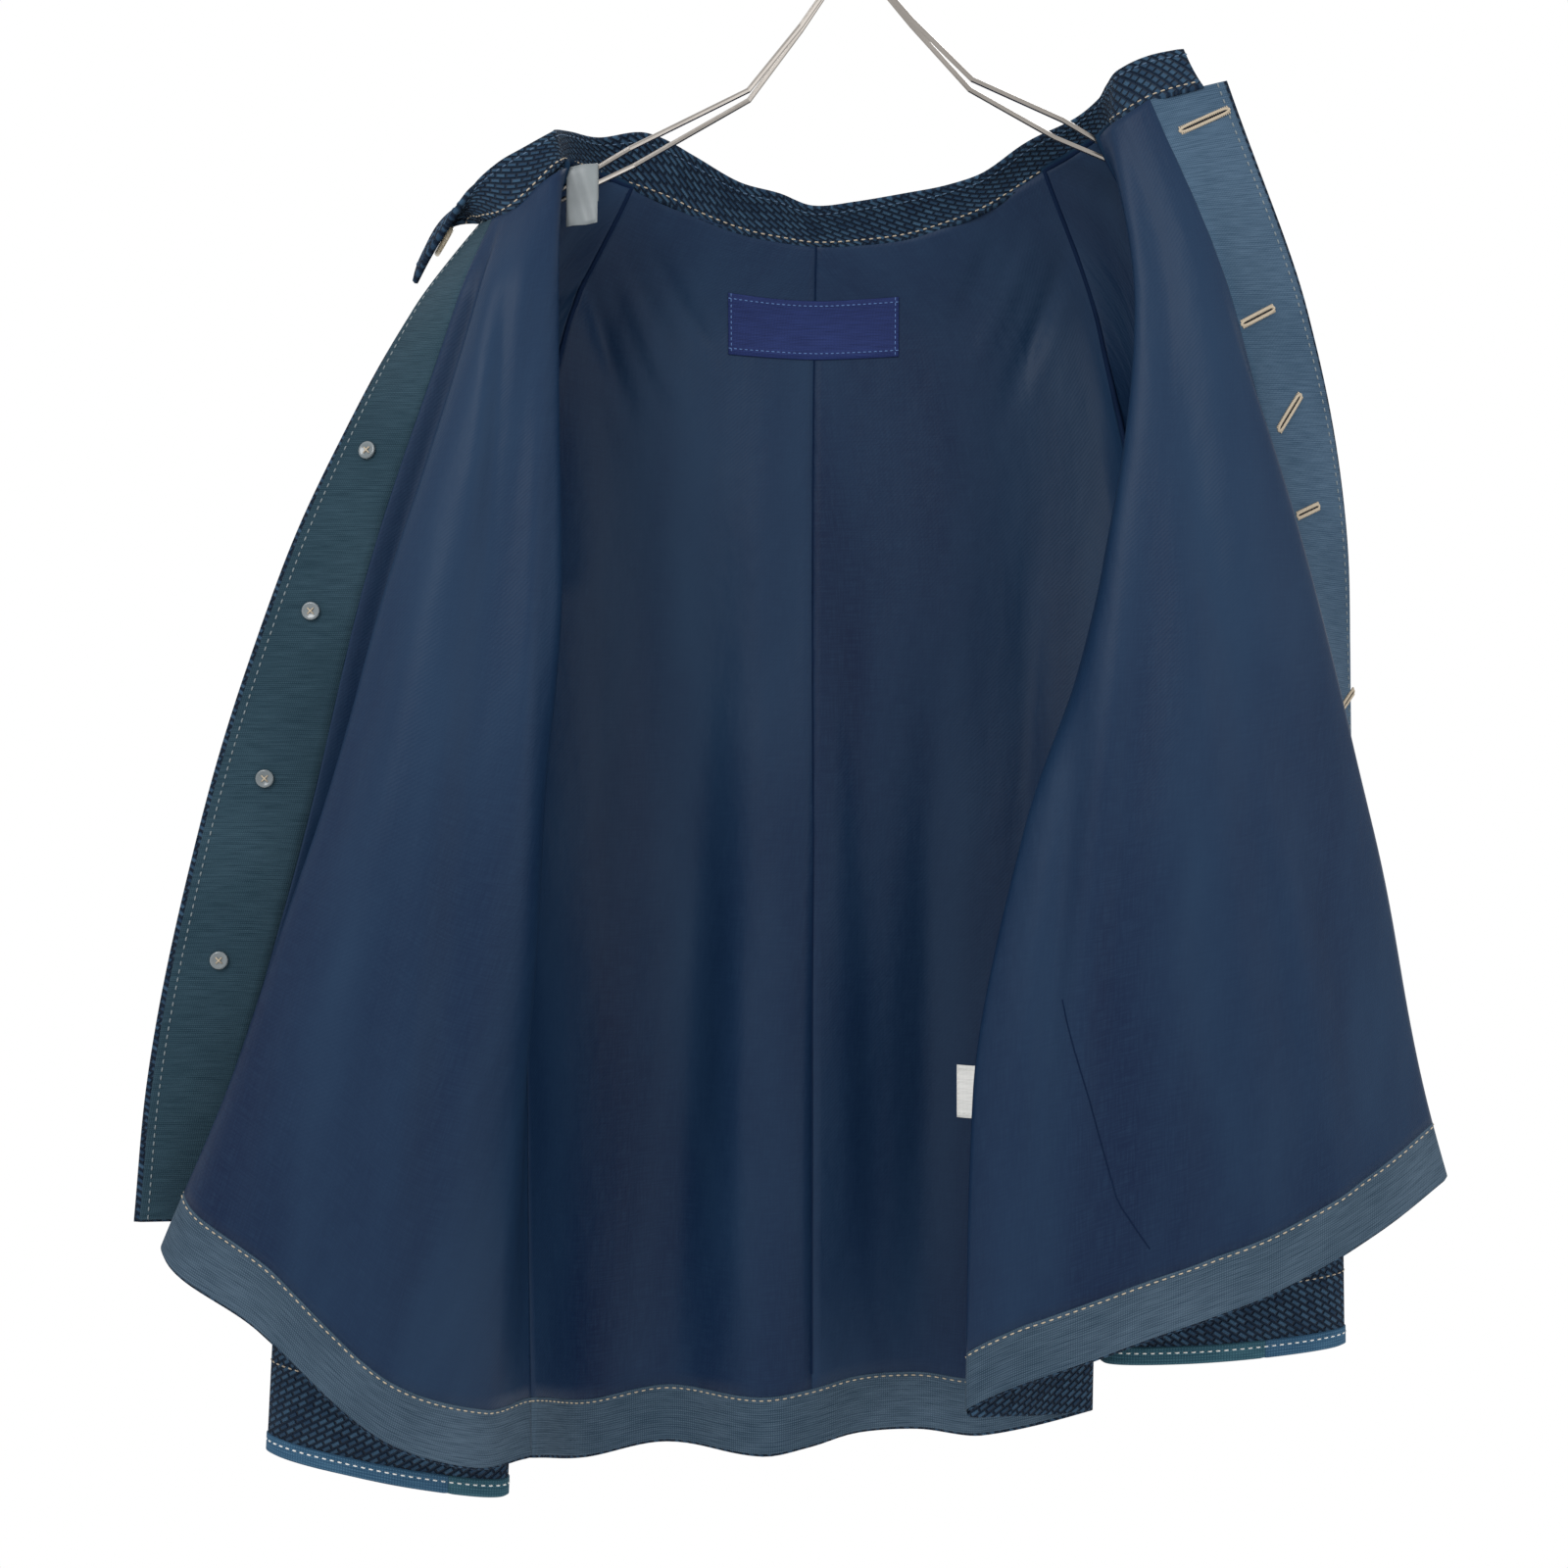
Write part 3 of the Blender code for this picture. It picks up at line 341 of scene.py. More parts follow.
def section(points, steps, before=None, after=None, joined=0.0):
    """Smooth line through the fold points; `joined` is how far it runs on into the next piece."""
    tangents = []
    for index, point in enumerate(points):
        low = points[index - 1] if index else before
        high = points[index + 1] if index + 1 < len(points) else after
        if index == 0:
            alone = (points[1] - point).normalized()
        elif index + 1 == len(points):
            alone = (point - points[-2]).normalized()
        else:
            alone = None
        if low is not None and high is not None:
            through = (high - low).normalized()
            weight = 1.0 if alone is None else joined
            alone = through if alone is None else alone
            tangents.append(alone.lerp(through, weight))
        else:
            tangents.append(alone)
    line = []
    for index in range(len(points) - 1):
        chord = (points[index + 1] - points[index]).length
        for step in range(steps[index]):
            u = step / steps[index]
            line.append(
                (2 * u ** 3 - 3 * u ** 2 + 1) * points[index]
                + (3 * u ** 2 - 2 * u ** 3) * points[index + 1]
                + (u ** 3 - 2 * u ** 2 + u) * chord * tangents[index]
                + (u ** 3 - u ** 2) * chord * tangents[index + 1]
            )
    line.append(points[-1].copy())
    return line


def body_grids():
    """Rows of surface points for the left front, the back and the right front."""
    grids = ([], [], [])
    for row, lengthwise in enumerate(LENGTHWISE):
        left, back, right = (
            [fold_point(fold, lengthwise) for fold in folds] for folds in (FRONT_LEFT, BACK, FRONT_RIGHT)
        )
        joined = 1.0 if row >= UNDERARM_ROW else 0.0
        if joined:
            back[0] = left[-1]
            back[-1] = right[0]
        grids[0].append(section(left, LEFT_STEPS, after=back[1], joined=joined))
        grids[1].append(section(back, BACK_STEPS, left[-2], right[1], joined))
        grids[2].append(section(right, RIGHT_STEPS, before=back[-2], joined=joined))
    return grids


def pulled(point, toward, distance):
    """The point moved toward its neighbour by a distance, never past it."""
    way = toward - point
    return point + way.normalized() * min(distance, way.length * 0.8)


def trimmed(rows, first=0.0, last=0.0, top=0.0, bottom=0.0):
    """A grid with its edges drawn in by the given distances; a list gives one distance a row."""
    made = [list(row) for row in rows]
    for index, row in enumerate(rows):
        near = first[index] if isinstance(first, list) else first
        far = last[index] if isinstance(last, list) else last
        made[index][0] = pulled(row[0], row[1], near)
        made[index][-1] = pulled(row[-1], row[-2], far)
    source = [list(row) for row in made]
    made[0] = [pulled(a, b, top) for a, b in zip(source[0], source[1])]
    made[-1] = [pulled(a, b, bottom) for a, b in zip(source[-1], source[-2])]
    return made


def surface_normals(rows, low_side=None, high_side=None, closed=False):
    """Outward direction at each grid point, shared with a neighbouring grid below the underarm."""
    normals = []
    last_row = len(rows) - 1
    last_column = len(rows[0]) - 1
    for r, row in enumerate(rows):
        joined = r >= UNDERARM_ROW
        line = []
        for c in range(len(row)):
            before = row[c - 1] if c or closed else row[0]
            after = row[(c + 1) % len(row)] if c < last_column or closed else row[-1]
            if joined and c == 0 and low_side:
                before = low_side[r][-2]
            if joined and c == last_column and high_side:
                after = high_side[r][1]
            above = rows[max(r - 1, 0)][c]
            below = rows[min(r + 1, last_row)][c]
            if r == UNDERARM_ROW and (c == 0 and low_side or c == last_column and high_side):
                above = row[c]
            line.append((after - before).cross(below - above).normalized())
        normals.append(line)
    return normals


def moved(rows, normals, distance):
    """The grid moved along its outward directions."""
    return [[p + n * distance for p, n in zip(*pair)] for pair in zip(rows, normals)]


def part_of(rows, row_range, column_range):
    """A stretch of a grid, both ends included."""
    return [row[column_range[0]:column_range[1] + 1] for row in rows[row_range[0]:row_range[1] + 1]]


def armhole(front, front_column, back, back_column, neck_points, stride=1):
    """Closed line round a sleeve's seam, from the underarm up the front, over and down the back."""
    line = [front[row][front_column].copy() for row in range(UNDERARM_ROW, -1, -stride)]
    line += [Vector(point) for point in neck_points]
    line += [back[row][back_column].copy() for row in range(0, UNDERARM_ROW, stride)]
    doubled = []
    for index, point in enumerate(line):
        beyond = line[(index + 1) % len(line)]
        doubled += [point, (point + beyond) / 2]
    return doubled


def sleeve_rows(seam, rings):
    """The sleeve's surface from its seam to its cuff, one row of points a ring."""
    lengths = [0.0]
    for index, point in enumerate(seam):
        lengths.append(lengths[-1] + (seam[(index + 1) % len(seam)] - point).length)
    angles = [math.tau * length / lengths[-1] - math.pi for length in lengths[:-1]]
    shoulder = seam[len(seam) // 2]
    underarm = seam[0]
    rows = [seam]
    for number, (outer_x, outer_z, inner_x, inner_z, middle, half, power) in enumerate(rings):
        outer = Vector((outer_x, middle, outer_z))
        inside = Vector((inner_x, middle, inner_z))
        centre = (outer + inside) / 2
        rounding = ROUNDING[number] if number < len(ROUNDING) else 1.0
        row = []
        for angle, start in zip(angles, seam):
            cosine = math.cos(angle)
            sine = math.sin(angle)
            across = Vector((0, half * math.copysign(abs(sine) ** power, sine), 0))
            ring = centre + (outer - inside) / 2 * cosine + across
            shift = (outer - shoulder) * (1 + cosine) / 2 + (inside - underarm) * (1 - cosine) / 2
            shift.y = 0
            row.append((start + shift).lerp(ring, rounding))
        rows.append(row)
    return rows


def grid_at(rows, across, along):
    """Point on the grid at fractional column and row."""
    c = min(int(across), len(rows[0]) - 2)
    r = min(int(along), len(rows) - 2)
    u = across - c
    v = along - r
    upper = rows[r][c].lerp(rows[r][c + 1], u)
    lower = rows[r + 1][c].lerp(rows[r + 1][c + 1], u)
    return upper.lerp(lower, v)


def row_at_height(rows, across, height):
    """Fractional row where the grid passes a height."""
    for r in range(len(rows) - 1):
        high = grid_at(rows, across, r).z
        low = grid_at(rows, across, r + 1).z
        if low <= height <= high:
            return r + (high - height) / (high - low)
    return 0.0


def column_at(rows, along, wanted):
    """Fractional column where a row of the back passes an x value."""
    for c in range(len(rows[0]) - 1):
        near = grid_at(rows, c, along).x
        far = grid_at(rows, c + 1, along).x
        if near <= wanted <= far:
            return c + (wanted - near) / (far - near)
    return 0.0


def frame_at(rows, across, along):
    """Point and outward direction on a grid."""
    step = 0.25
    point = grid_at(rows, across, along)
    right = grid_at(rows, across + step, along) - grid_at(rows, max(across - step, 0), along)
    down = grid_at(rows, across, along + step) - grid_at(rows, across, max(along - step, 0))
    return point, right.cross(down).normalized()


def add(tree, kind, values=None, **settings):
    """One shader node with its settings, and its sockets set or linked."""
    made = tree.nodes.new("ShaderNode" + kind)
    for name, value in settings.items():
        setattr(made, name, value)
    for name, value in (values or {}).items():
        if isinstance(value, bpy.types.NodeSocket):
            tree.links.new(value, made.inputs[name])
        else:
            made.inputs[name].default_value = value
    return made


def surface(name, roughness, metallic=0.0, sheen=0.0, coat=0.0, specular=0.5):
    """An empty material, its node tree and its shader."""
    made = bpy.data.materials.new(name)
    made.use_nodes = True
    tree = made.node_tree
    shader = tree.nodes["Principled BSDF"]
    for socket, value in (
        ("Roughness", roughness), ("Metallic", metallic), ("Sheen Weight", sheen),
        ("Sheen Roughness", 0.5), ("Coat Weight", coat), ("Specular IOR Level", specular),
    ):
        shader.inputs[socket].default_value = value
    return made, tree, shader


def flat_cloth(tree, scale=(1, 1, 1), turn=0.0):
    """Position on the cut cloth, in metres times the scale."""
    spot = add(tree, "UVMap", uv_map="cloth").outputs[0]
    return add(tree, "Mapping", {"Vector": spot, "Scale": scale, "Rotation": (0, 0, turn)}).outputs[0]


def blend(tree, factor, low, high):
    """Colour between two colours by a factor."""
    return add(tree, "Mix", {0: factor, 6: low, 7: high}, data_type="RGBA").outputs[2]


def colour4(colour):
    """The colour with full alpha."""
    return (*colour, 1.0)


def clouds(tree, place, scale, detail):
    """Noise of a scale at a place."""
    return add(tree, "TexNoise", {"Vector": place, "Scale": scale, "Detail": detail}).outputs[0]


def sums(tree, kind, *values):
    """Result of one sum on the values."""
    return add(tree, "Math", dict(enumerate(values)), operation=kind).outputs[0]


def link_looks(tree, shader, colour, height, strength, distance):
    """Link a colour, and a bump of a height, to the shader."""
    tree.links.new(colour, shader.inputs["Base Color"])
    bump = add(tree, "Bump", {"Height": height, "Strength": strength, "Distance": distance})
    tree.links.new(bump.outputs[0], shader.inputs["Normal"])


def kendo_material():
    """Thick indigo cotton quilted in diagonal rows of rice-grain stitches."""
    made, tree, shader = surface("kendo_cloth", 0.95, sheen=0.02, specular=0.1)
    grain = add(tree, "TexBrick", {
        "Vector": flat_cloth(tree, turn=GRAIN_TURN), "Color1": colour4(KENDO_LIGHT),
        "Color2": colour4(KENDO_MID), "Mortar": colour4(KENDO_DARK), "Scale": 0.5 / GRAIN_LENGTH,
        "Mortar Size": 0.085, "Mortar Smooth": 1.0, "Bias": -0.1, "Brick Width": 0.5,
        "Row Height": 0.5 * GRAIN_ROW / GRAIN_LENGTH,
    }, offset=0.5)
    fade = clouds(tree, flat_cloth(tree), 22.0, 4.0)
    threads = clouds(tree, flat_cloth(tree), 1400.0, 2.0)
    worn = blend(tree, fade, grain.outputs["Color"], colour4(KENDO_MID))
    speckled = blend(tree, threads, worn, grain.outputs["Color"])
    raised = sums(tree, "SUBTRACT", 1.0, grain.outputs["Fac"])
    height = sums(tree, "MULTIPLY_ADD", threads, 0.3, raised)
    link_looks(tree, shader, speckled, height, 1.0, 0.0022)
    return made


def satin_material():
    """Navy satin with broad soft bands of painted sheen and painted shade, fine twill and small puckers."""
    made, tree, shader = surface("lining", 0.48, specular=0.13)
    # Broad vertical bands of painted sheen and painted shade, standing in for the hanging satin's folds catching
    # and losing the light
    sheen_bands = add(tree, "TexNoise", {
        "Vector": flat_cloth(tree, (9.0, 2.2, 1.0)), "Scale": 1.0, "Detail": 3.0, "Roughness": 0.55,
    })
    sheen_ramp = add(tree, "ValToRGB", {"Fac": sheen_bands.outputs[0]})
    for stop, position, colour in ((0, 0.32, LINING_SHADED_BAND), (1, 0.72, LINING_SHEEN_BAND)):
        sheen_ramp.color_ramp.elements[stop].position = position
        sheen_ramp.color_ramp.elements[stop].color = colour4(colour)
    twill = add(tree, "TexWave", {
        "Vector": flat_cloth(tree, turn=0.8), "Scale": 170.0, "Distortion": 0.6, "Detail": 1.0,
    })
    streaks = [
        clouds(tree, flat_cloth(tree, scale), 1.0, 2.0) for scale in ((1300.0, 70.0, 1.0), (70.0, 1300.0, 1.0))
    ]
    crossed = sums(tree, "MULTIPLY", *streaks)
    fine = add(tree, "MapRange", {"Value": crossed, "From Min": 0.18, "From Max": 0.4, "To Max": 0.4})
    # Fine lighter thread flecks, mixed toward the painted sheen band's colour
    colour = blend(tree, fine.outputs[0], sheen_ramp.outputs[0], colour4(LINING_SHEEN_BAND))
    pucker = clouds(tree, flat_cloth(tree, (1.0, 0.45, 1.0)), 75.0, 3.0)
    height = sums(tree, "MULTIPLY_ADD", twill.outputs["Fac"], 0.05, pucker)
    link_looks(tree, shader, colour, height, 0.35, 0.002)
    return made


def woven_material(name, dark, light, pitch=0.0011, roughness=0.85):
    """Plain weave: two crossed sets of threads with slubs."""
    made, tree, shader = surface(name, roughness, sheen=0.02, specular=0.12)
    warp, weft = [
        add(tree, "TexWave", {"Vector": flat_cloth(tree), "Scale": WAVE_SPAN / pitch, "Distortion": 0.4},
            bands_direction=way).outputs["Fac"]
        for way in "XY"
    ]
    cross = sums(tree, "MULTIPLY", warp, weft)
    slub = clouds(tree, flat_cloth(tree, (60.0, 900.0, 1.0)), 1.0, 3.0)
    patchy = clouds(tree, flat_cloth(tree), 9.0, 3.0)
    tone = sums(tree, "MULTIPLY", slub, patchy)
    fleck = sums(tree, "MULTIPLY_ADD", cross, 0.35, tone)
    spread = add(tree, "MapRange", {"Value": fleck, "From Min": 0.16, "From Max": 0.56}).outputs[0]
    link_looks(tree, shader, blend(tree, spread, colour4(dark), colour4(light)), fleck, 0.6, 0.0006)
    return made


def plain_material(
    name, dark, light, roughness, metallic=0.0, coat=0.0, scale=60.0, alpha=1.0, specular=0.5
):
    """A hard surface with faint clouding and handling marks."""
    made, tree, shader = surface(name, roughness, metallic, coat=coat, specular=specular)
    place = add(tree, "TexCoord").outputs["Object"]
    cloud = clouds(tree, place, scale, 4.0)
    marks = clouds(tree, place, scale * 12, 3.0)
    worn = add(tree, "MapRange", {
        "Value": marks, "To Min": max(roughness - 0.06, 0.03), "To Max": roughness + 0.08,
    })
    tree.links.new(worn.outputs[0], shader.inputs["Roughness"])
    link_looks(tree, shader, blend(tree, cloud, colour4(dark), colour4(light)), marks, 0.1, 0.0002)
    shader.inputs["Alpha"].default_value = alpha
    return made


def thread_material(name, dark, light):
    """Twisted sewing thread."""
    made, tree, shader = surface(name, 0.7, sheen=0.05, specular=0.2)
    twist = clouds(tree, add(tree, "TexCoord").outputs["Object"], 2200.0, 2.0)
    link_looks(tree, shader, blend(tree, twist, colour4(dark), colour4(light)), twist, 0.5, 0.0003)
    return made


def crease_depth(point, creases):
    """How far the cloth stands in or out at a point because of the creases near it."""
    depth = 0.0
    for (x0, z0), (x1, z1), width, height in creases:
        across = x1 - x0
        down = z1 - z0
        length = across * across + down * down
        along = ((point.x - x0) * across + (point.z - z0) * down) / length
        taper = min(1.0, max(0.0, along + 0.2) / 0.6, max(0.0, 1.2 - along) / 0.6)
        if taper <= 0:
            continue
        taper = taper * taper * (3 - 2 * taper)
        side = ((point.x - x0) * down - (point.z - z0) * across) / math.sqrt(length)
        ratio = side / width
        if abs(ratio) < 3:
            depth += height * taper * (1 - ratio * ratio) * math.exp(-ratio * ratio)
    return depth


def ruffled(rows, normals, creases, uneven=UNEVEN):
    """The grid with its creases and the small unevenness of hung cloth."""
    made = []
    for row, line in zip(rows, normals):
        made.append([
            p + n * (crease_depth(p, creases) + uneven * noise.noise(Vector((p.x, p.y, p.z * 0.35)) * 0.022))
            for p, n in zip(row, line)
        ])
    return made


def place_piece(made, node, finish, sheet=None):
    """Put a new piece on the body, its finish and the node that it stands for."""
    garment.objects.link(made)
    made.data.materials.append(finish)
    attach(made, "root")
    if node:
        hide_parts(node)
    return made


def smooth_mesh(name, points, faces, turned_out=True):
    """Smooth mesh of points and faces, with its faces turned outward unless they already are."""
    mesh = bpy.data.meshes.new(name)
    mesh.from_pydata([tuple(p) for p in points], [], faces)
    if turned_out:
        shape = bmesh.new()
        shape.from_mesh(mesh)
        bmesh.ops.recalc_face_normals(shape, faces=shape.faces)
        shape.to_mesh(mesh)
        shape.free()
    mesh.shade_smooth()
    return mesh


def flat_size(rows, closed=False):
    """Width, length and area of a grid's cloth in metres.

    The width is the longest row and the length the longest column. Where the area is under LEAST_SHARE
    of width times length, the length is cut short to that share, and isn't a measured size.
    """
    wide = 0.0
    long = 0.0
    area = 0.0
    count = len(rows[0])
    for row in rows:
        steps = count if closed else count - 1
        wide = max(wide, sum((row[(c + 1) % count] - row[c]).length for c in range(steps)))
    for c in range(count):
        long = max(long, sum((low[c] - high[c]).length for high, low in zip(rows, rows[1:])))
    for high, low in zip(rows, rows[1:]):
        for c in range(count if closed else count - 1):
            n = (c + 1) % count
            one = (high[n] - high[c]).cross(low[c] - high[c]).length / 2
            other = (high[n] - low[n]).cross(low[c] - low[n]).length / 2
            area += one + other
    width = wide * MM
    length = long * MM
    area = area * MM * MM
    length = min(length, area / (width * LEAST_SHARE))
    return width, length, min(area, width * length)


def cloth(name, near, far, closed=False):
    """Thin closed sheet between two faces, with rounded edges and its cut-cloth coordinates."""
    width = len(near[0])
    height = len(near)
    middle = 0 if closed else width // 2
    down = [0.0]
    for high, low in zip(near, near[1:]):
        down.append(down[-1] + (low[width // 2] - high[width // 2]).length)
    points = []
    spots = []
    turns = []
    for face in (near, far):
        for r, row in enumerate(face):
            run = [0.0]
            for c in range(1, width):
                run.append(run[-1] + (row[c] - row[c - 1]).length)
            turns.append(run[-1] + (row[0] - row[-1]).length)
            for c in range(width):
                points.append(row[c] * MM)
                spots.append(((run[c] - run[middle]) * MM, -down[r] * MM))
    layer_size = width * height
    faces = []
    columns = width if closed else width - 1
    for side in range(2):
        for r in range(height - 1):
            for c in range(columns):
                n = (c + 1) % width
                base = side * layer_size
                faces.append((base + r * width + c, base + r * width + n,
                              base + (r + 1) * width + n, base + (r + 1) * width + c))
    if closed:
        loops = [([(0, c) for c in range(width)], 1), ([(height - 1, c) for c in range(width)], -1)]
    else:
        edge = [(0, c) for c in range(width)] + [(r, width - 1) for r in range(1, height)]
        edge += [(height - 1, c) for c in range(width - 2, -1, -1)]
        edge += [(r, 0) for r in range(height - 2, 0, -1)]
        loops = [(edge, 0)]
    for loop, kind in loops:
        start = len(points)
        for r, c in loop:
            inner_r = min(max(r, 1), height - 2) if height > 2 else r
            inner_c = c if kind else (min(max(c, 1), width - 2) if width > 2 else c)
            here = (near[r][c] + far[r][c]) / 2
            inner = (near[inner_r][inner_c] + far[inner_r][inner_c]) / 2
            out = here - inner
            thick = (near[r][c] - far[r][c]).length
            if out.length > 0.01:
                here = here + out.normalized() * thick * EDGE_ROUND
            points.append(here * MM)
            spots.append(spots[r * width + c])
        count = len(loop)
        for i in range(count):
            j = (i + 1) % count
            a = loop[i][0] * width + loop[i][1]
            b = loop[j][0] * width + loop[j][1]
            faces.append((a, b, start + j, start + i))
            faces.append((start + i, start + j, layer_size + b, layer_size + a))
    mesh = smooth_mesh(name, points, faces)
    layer_uv = mesh.uv_layers.new(name="cloth")
    for polygon in mesh.polygons:
        corners = [mesh.loops[index].vertex_index for index in polygon.loop_indices]
        across = [spots[corner][0] for corner in corners]
        wrap = closed and max(across) - min(across) > WRAP_JUMP
        for index, corner in zip(polygon.loop_indices, corners):
            u, v = spots[corner]
            if wrap and u < WRAP_JUMP / 2:
                u += turns[0] * MM
            layer_uv.data[index].uv = (u, v)
    return bpy.data.objects.new(name, mesh)


def layer(node, finish, grid, span, faces, trims):
    """A stretch of a grid as one layer of cloth that stands for a solid."""
    rows, normals = grid
    rows = part_of(rows, *span)
    normals = part_of(normals, *span)
    near, far = (trimmed(moved(rows, normals, distance), *trims) for distance in faces)
    middle = [[(a + b) / 2 for a, b in zip(*pair)] for pair in zip(near, far)]
    made = cloth("cloth_" + node, near, far)
    return place_piece(made, node, finish, flat_size(middle))


def body(grids, looks):
    """Shell, lining, facings and hem bands."""
    left_grid, back_grid, right_grid = grids
    outer = (LAYER_GAP, LAYER_GAP + SHELL_THICK)
    inside = (-LAYER_GAP, -LAYER_GAP - LINING_THICK)
    half = SEAM_GAP / 2
    end = len(LENGTHWISE) - 1
    facing = LEFT_STEPS[0]
    right_facing = RIGHT_STEPS[-1]
    middle = BACK_CENTRE
    last_left, last_back, last_right = (len(grid[0][0]) - 1 for grid in grids)
    for node, grid, last in (
        ("shell_front_left", left_grid, last_left),
        ("shell_back", back_grid, last_back),
        ("shell_front_right", right_grid, last_right),
    ):
        layer(node, looks["kendo"], grid, ((0, end), (0, last)), outer, (half, half))
    for node, grid, columns in (
        ("lining_front_left", left_grid, (facing, last_left)),
        ("lining_back_left", back_grid, (0, middle)),
        ("lining_back_right", back_grid, (middle, last_back)),
        ("lining_front_right", right_grid, (0, last_right - right_facing)),
    ):
        layer(node, looks["satin"], grid, ((0, HEM_ROW), columns), inside, (half,) * 4)
    for node, grid, rows, columns, trims, finish in (
        # The left facing's finish carries painted shade: a darker copy of the facing cloth
        ("facing_front_left", left_grid, (0, end), (0, facing), (EDGE_SHOWS, half), "shaded_facing_left"),
        ("facing_front_right", right_grid, (0, end), (last_right - right_facing, last_right), (half, EDGE_SHOWS),
         "facing_right"),
        ("hem_band_front_left", left_grid, (HEM_ROW, end), (facing, last_left), (half, half), "hem"),
        ("hem_band_back", back_grid, (HEM_ROW, end), (0, last_back), (half, half), "hem"),
        ("hem_band_front_right", right_grid, (HEM_ROW, end), (0, last_right - right_facing), (half, half), "hem"),
    ):
        layer(node, looks[finish], grid, (rows, columns), inside, (*trims, half, HEM_SHOWS))


def finer_rings(rows):
    """A sleeve with more rings between those of its table."""
    steps = [RING_FINE] * (len(rows) - 1)
    columns = [section([row[c] for row in rows], steps) for c in range(len(rows[0]))]
    return [list(ring) for ring in zip(*columns)]


def ring_turns(seam):
    """Share of the way round at each point of a closed line."""
    lengths = [0.0]
    for index, point in enumerate(seam):
        lengths.append(lengths[-1] + (seam[(index + 1) % len(seam)] - point).length)
    return [length / lengths[-1] for length in lengths]


def ring_piece(rows, first, last):
    """Part of a closed ring as an open strip."""
    width = len(rows[0])
    return [[row[index % width] for index in range(first, last + 1)] for row in rows]


def sleeve(side, seam, coarse_seam, rings, mirrored, blue_span, looks):
    """Sleeve shell, its lining at the shoulder, the cuff's two bindings and their stitches."""
    rows = finer_rings(sleeve_rows(seam, rings))
    sign = -1 if mirrored else 1
    normals = surface_normals(rows, closed=True)
    creases = SLEEVE_CREASES_LEFT if side == "left" else SLEEVE_CREASES_RIGHT
    rows = [rows[0]] + ruffled(rows, [[n * sign for n in line] for line in normals], creases)[1:]
    normals = surface_normals(rows, closed=True)
    near, far = (moved(rows, normals, sign * d) for d in (LAYER_GAP, LAYER_GAP + SHELL_THICK))
    shell = cloth(f"cloth_shell_sleeve_{side}", near, far, True)
    shoulder = LINED_RINGS * RING_FINE
    near, far = (moved(rows, normals, sign * d)[:shoulder] for d in (-LAYER_GAP, -LAYER_GAP - LINING_THICK))
    place_piece(cloth(f"cloth_lining_sleeve_{side}", near, far, True), f"lining_sleeve_{side}",
                looks["satin"], flat_size(near, True))
    down = [(low - high).normalized() for high, low in zip(rows[-2], rows[-1])]
    band = []
    for step in range(7):
        drop = SEAM_GAP + CUFF_BINDING * step / 6
        band.append([point + way * drop for point, way in zip(rows[-1], down)])
    band_normals = [normals[-1]] * len(band)
    turns = ring_turns(seam)
    coarse = ring_turns(coarse_seam)
    first, last = (min(range(len(seam)), key=lambda i: abs(turns[i] - coarse[mark])) for mark in blue_span)
    width = len(seam)
    for name, span in (("blue", (first, last)), ("teal", (last, first + width))):
        faces = []
        for distance in ((SHELL_THICK - BINDING_THICK) / 2, (SHELL_THICK + BINDING_THICK) / 2):
            strip = ring_piece(moved(band, band_normals, sign * distance), *span)
            faces.append(trimmed(strip, SEAM_GAP / 2, SEAM_GAP / 2))
        node = f"cuff_binding_{side}_{name}"
        place_piece(cloth("cloth_" + node, *faces), node, looks[name])
    place_piece(shell, f"shell_sleeve_{side}", looks["kendo"], flat_size(rows, True))
    outside = moved(band, band_normals, sign * ((SHELL_THICK + BINDING_THICK) / 2))
    out = [n * sign for n in normals[-1]]
    stitches(f"stitch_cuff_{side}", [(outside[2] + outside[2][:1], out + out[:1])],
             looks["white_thread"])
    above = moved(rows, normals, sign * (LAYER_GAP + SHELL_THICK))[-3]
    stitches(f"stitch_cuff_top_{side}", [(above + above[:1], out + out[:1])],
             looks["cream_thread"])


def collar(looks):
    """Stand collar with its topstitch."""
    rows = []
    for row in range(COLLAR_ROWS + 1):
        u = row / COLLAR_ROWS
        line = []
        for lower, upper, bow in COLLAR:
            low = Vector(lower) - Vector((0, 0, COLLAR_LAP))
            line.append(low.lerp(Vector(upper), u) + Vector(bow) * 4 * u * (1 - u))
        rows.append(section(line, [COLLAR_FINE * 2] * (len(line) - 1)))
    rows.reverse()
    normals = surface_normals(rows)
    rows = ruffled(rows, normals, (), 0.8)
    near, far = (moved(rows, normals, distance) for distance in (-COLLAR_THICK / 2, COLLAR_THICK / 2))
    made = cloth("cloth_collar", near, far)
    place_piece(made, "collar", looks["kendo"], flat_size(rows))
    for name, row, finish in (("top", 2, "indigo_thread"), ("low", COLLAR_ROWS - 2, "cream_thread")):
        lines = [(face[row], [n * sign for n in normals[row]]) for face, sign in ((near, -1), (far, 1))]
        stitches(f"stitch_collar_{name}", lines, looks[finish])
    return rows


def along_line(line, distance):
    """Point, direction and index at a distance along a line of points."""
    left = distance
    for index in range(len(line) - 1):
        step = line[index + 1] - line[index]
        if left <= step.length:
            return line[index] + step * (left / max(step.length, 1e-6)), step.normalized(), index
        left -= step.length
    return None


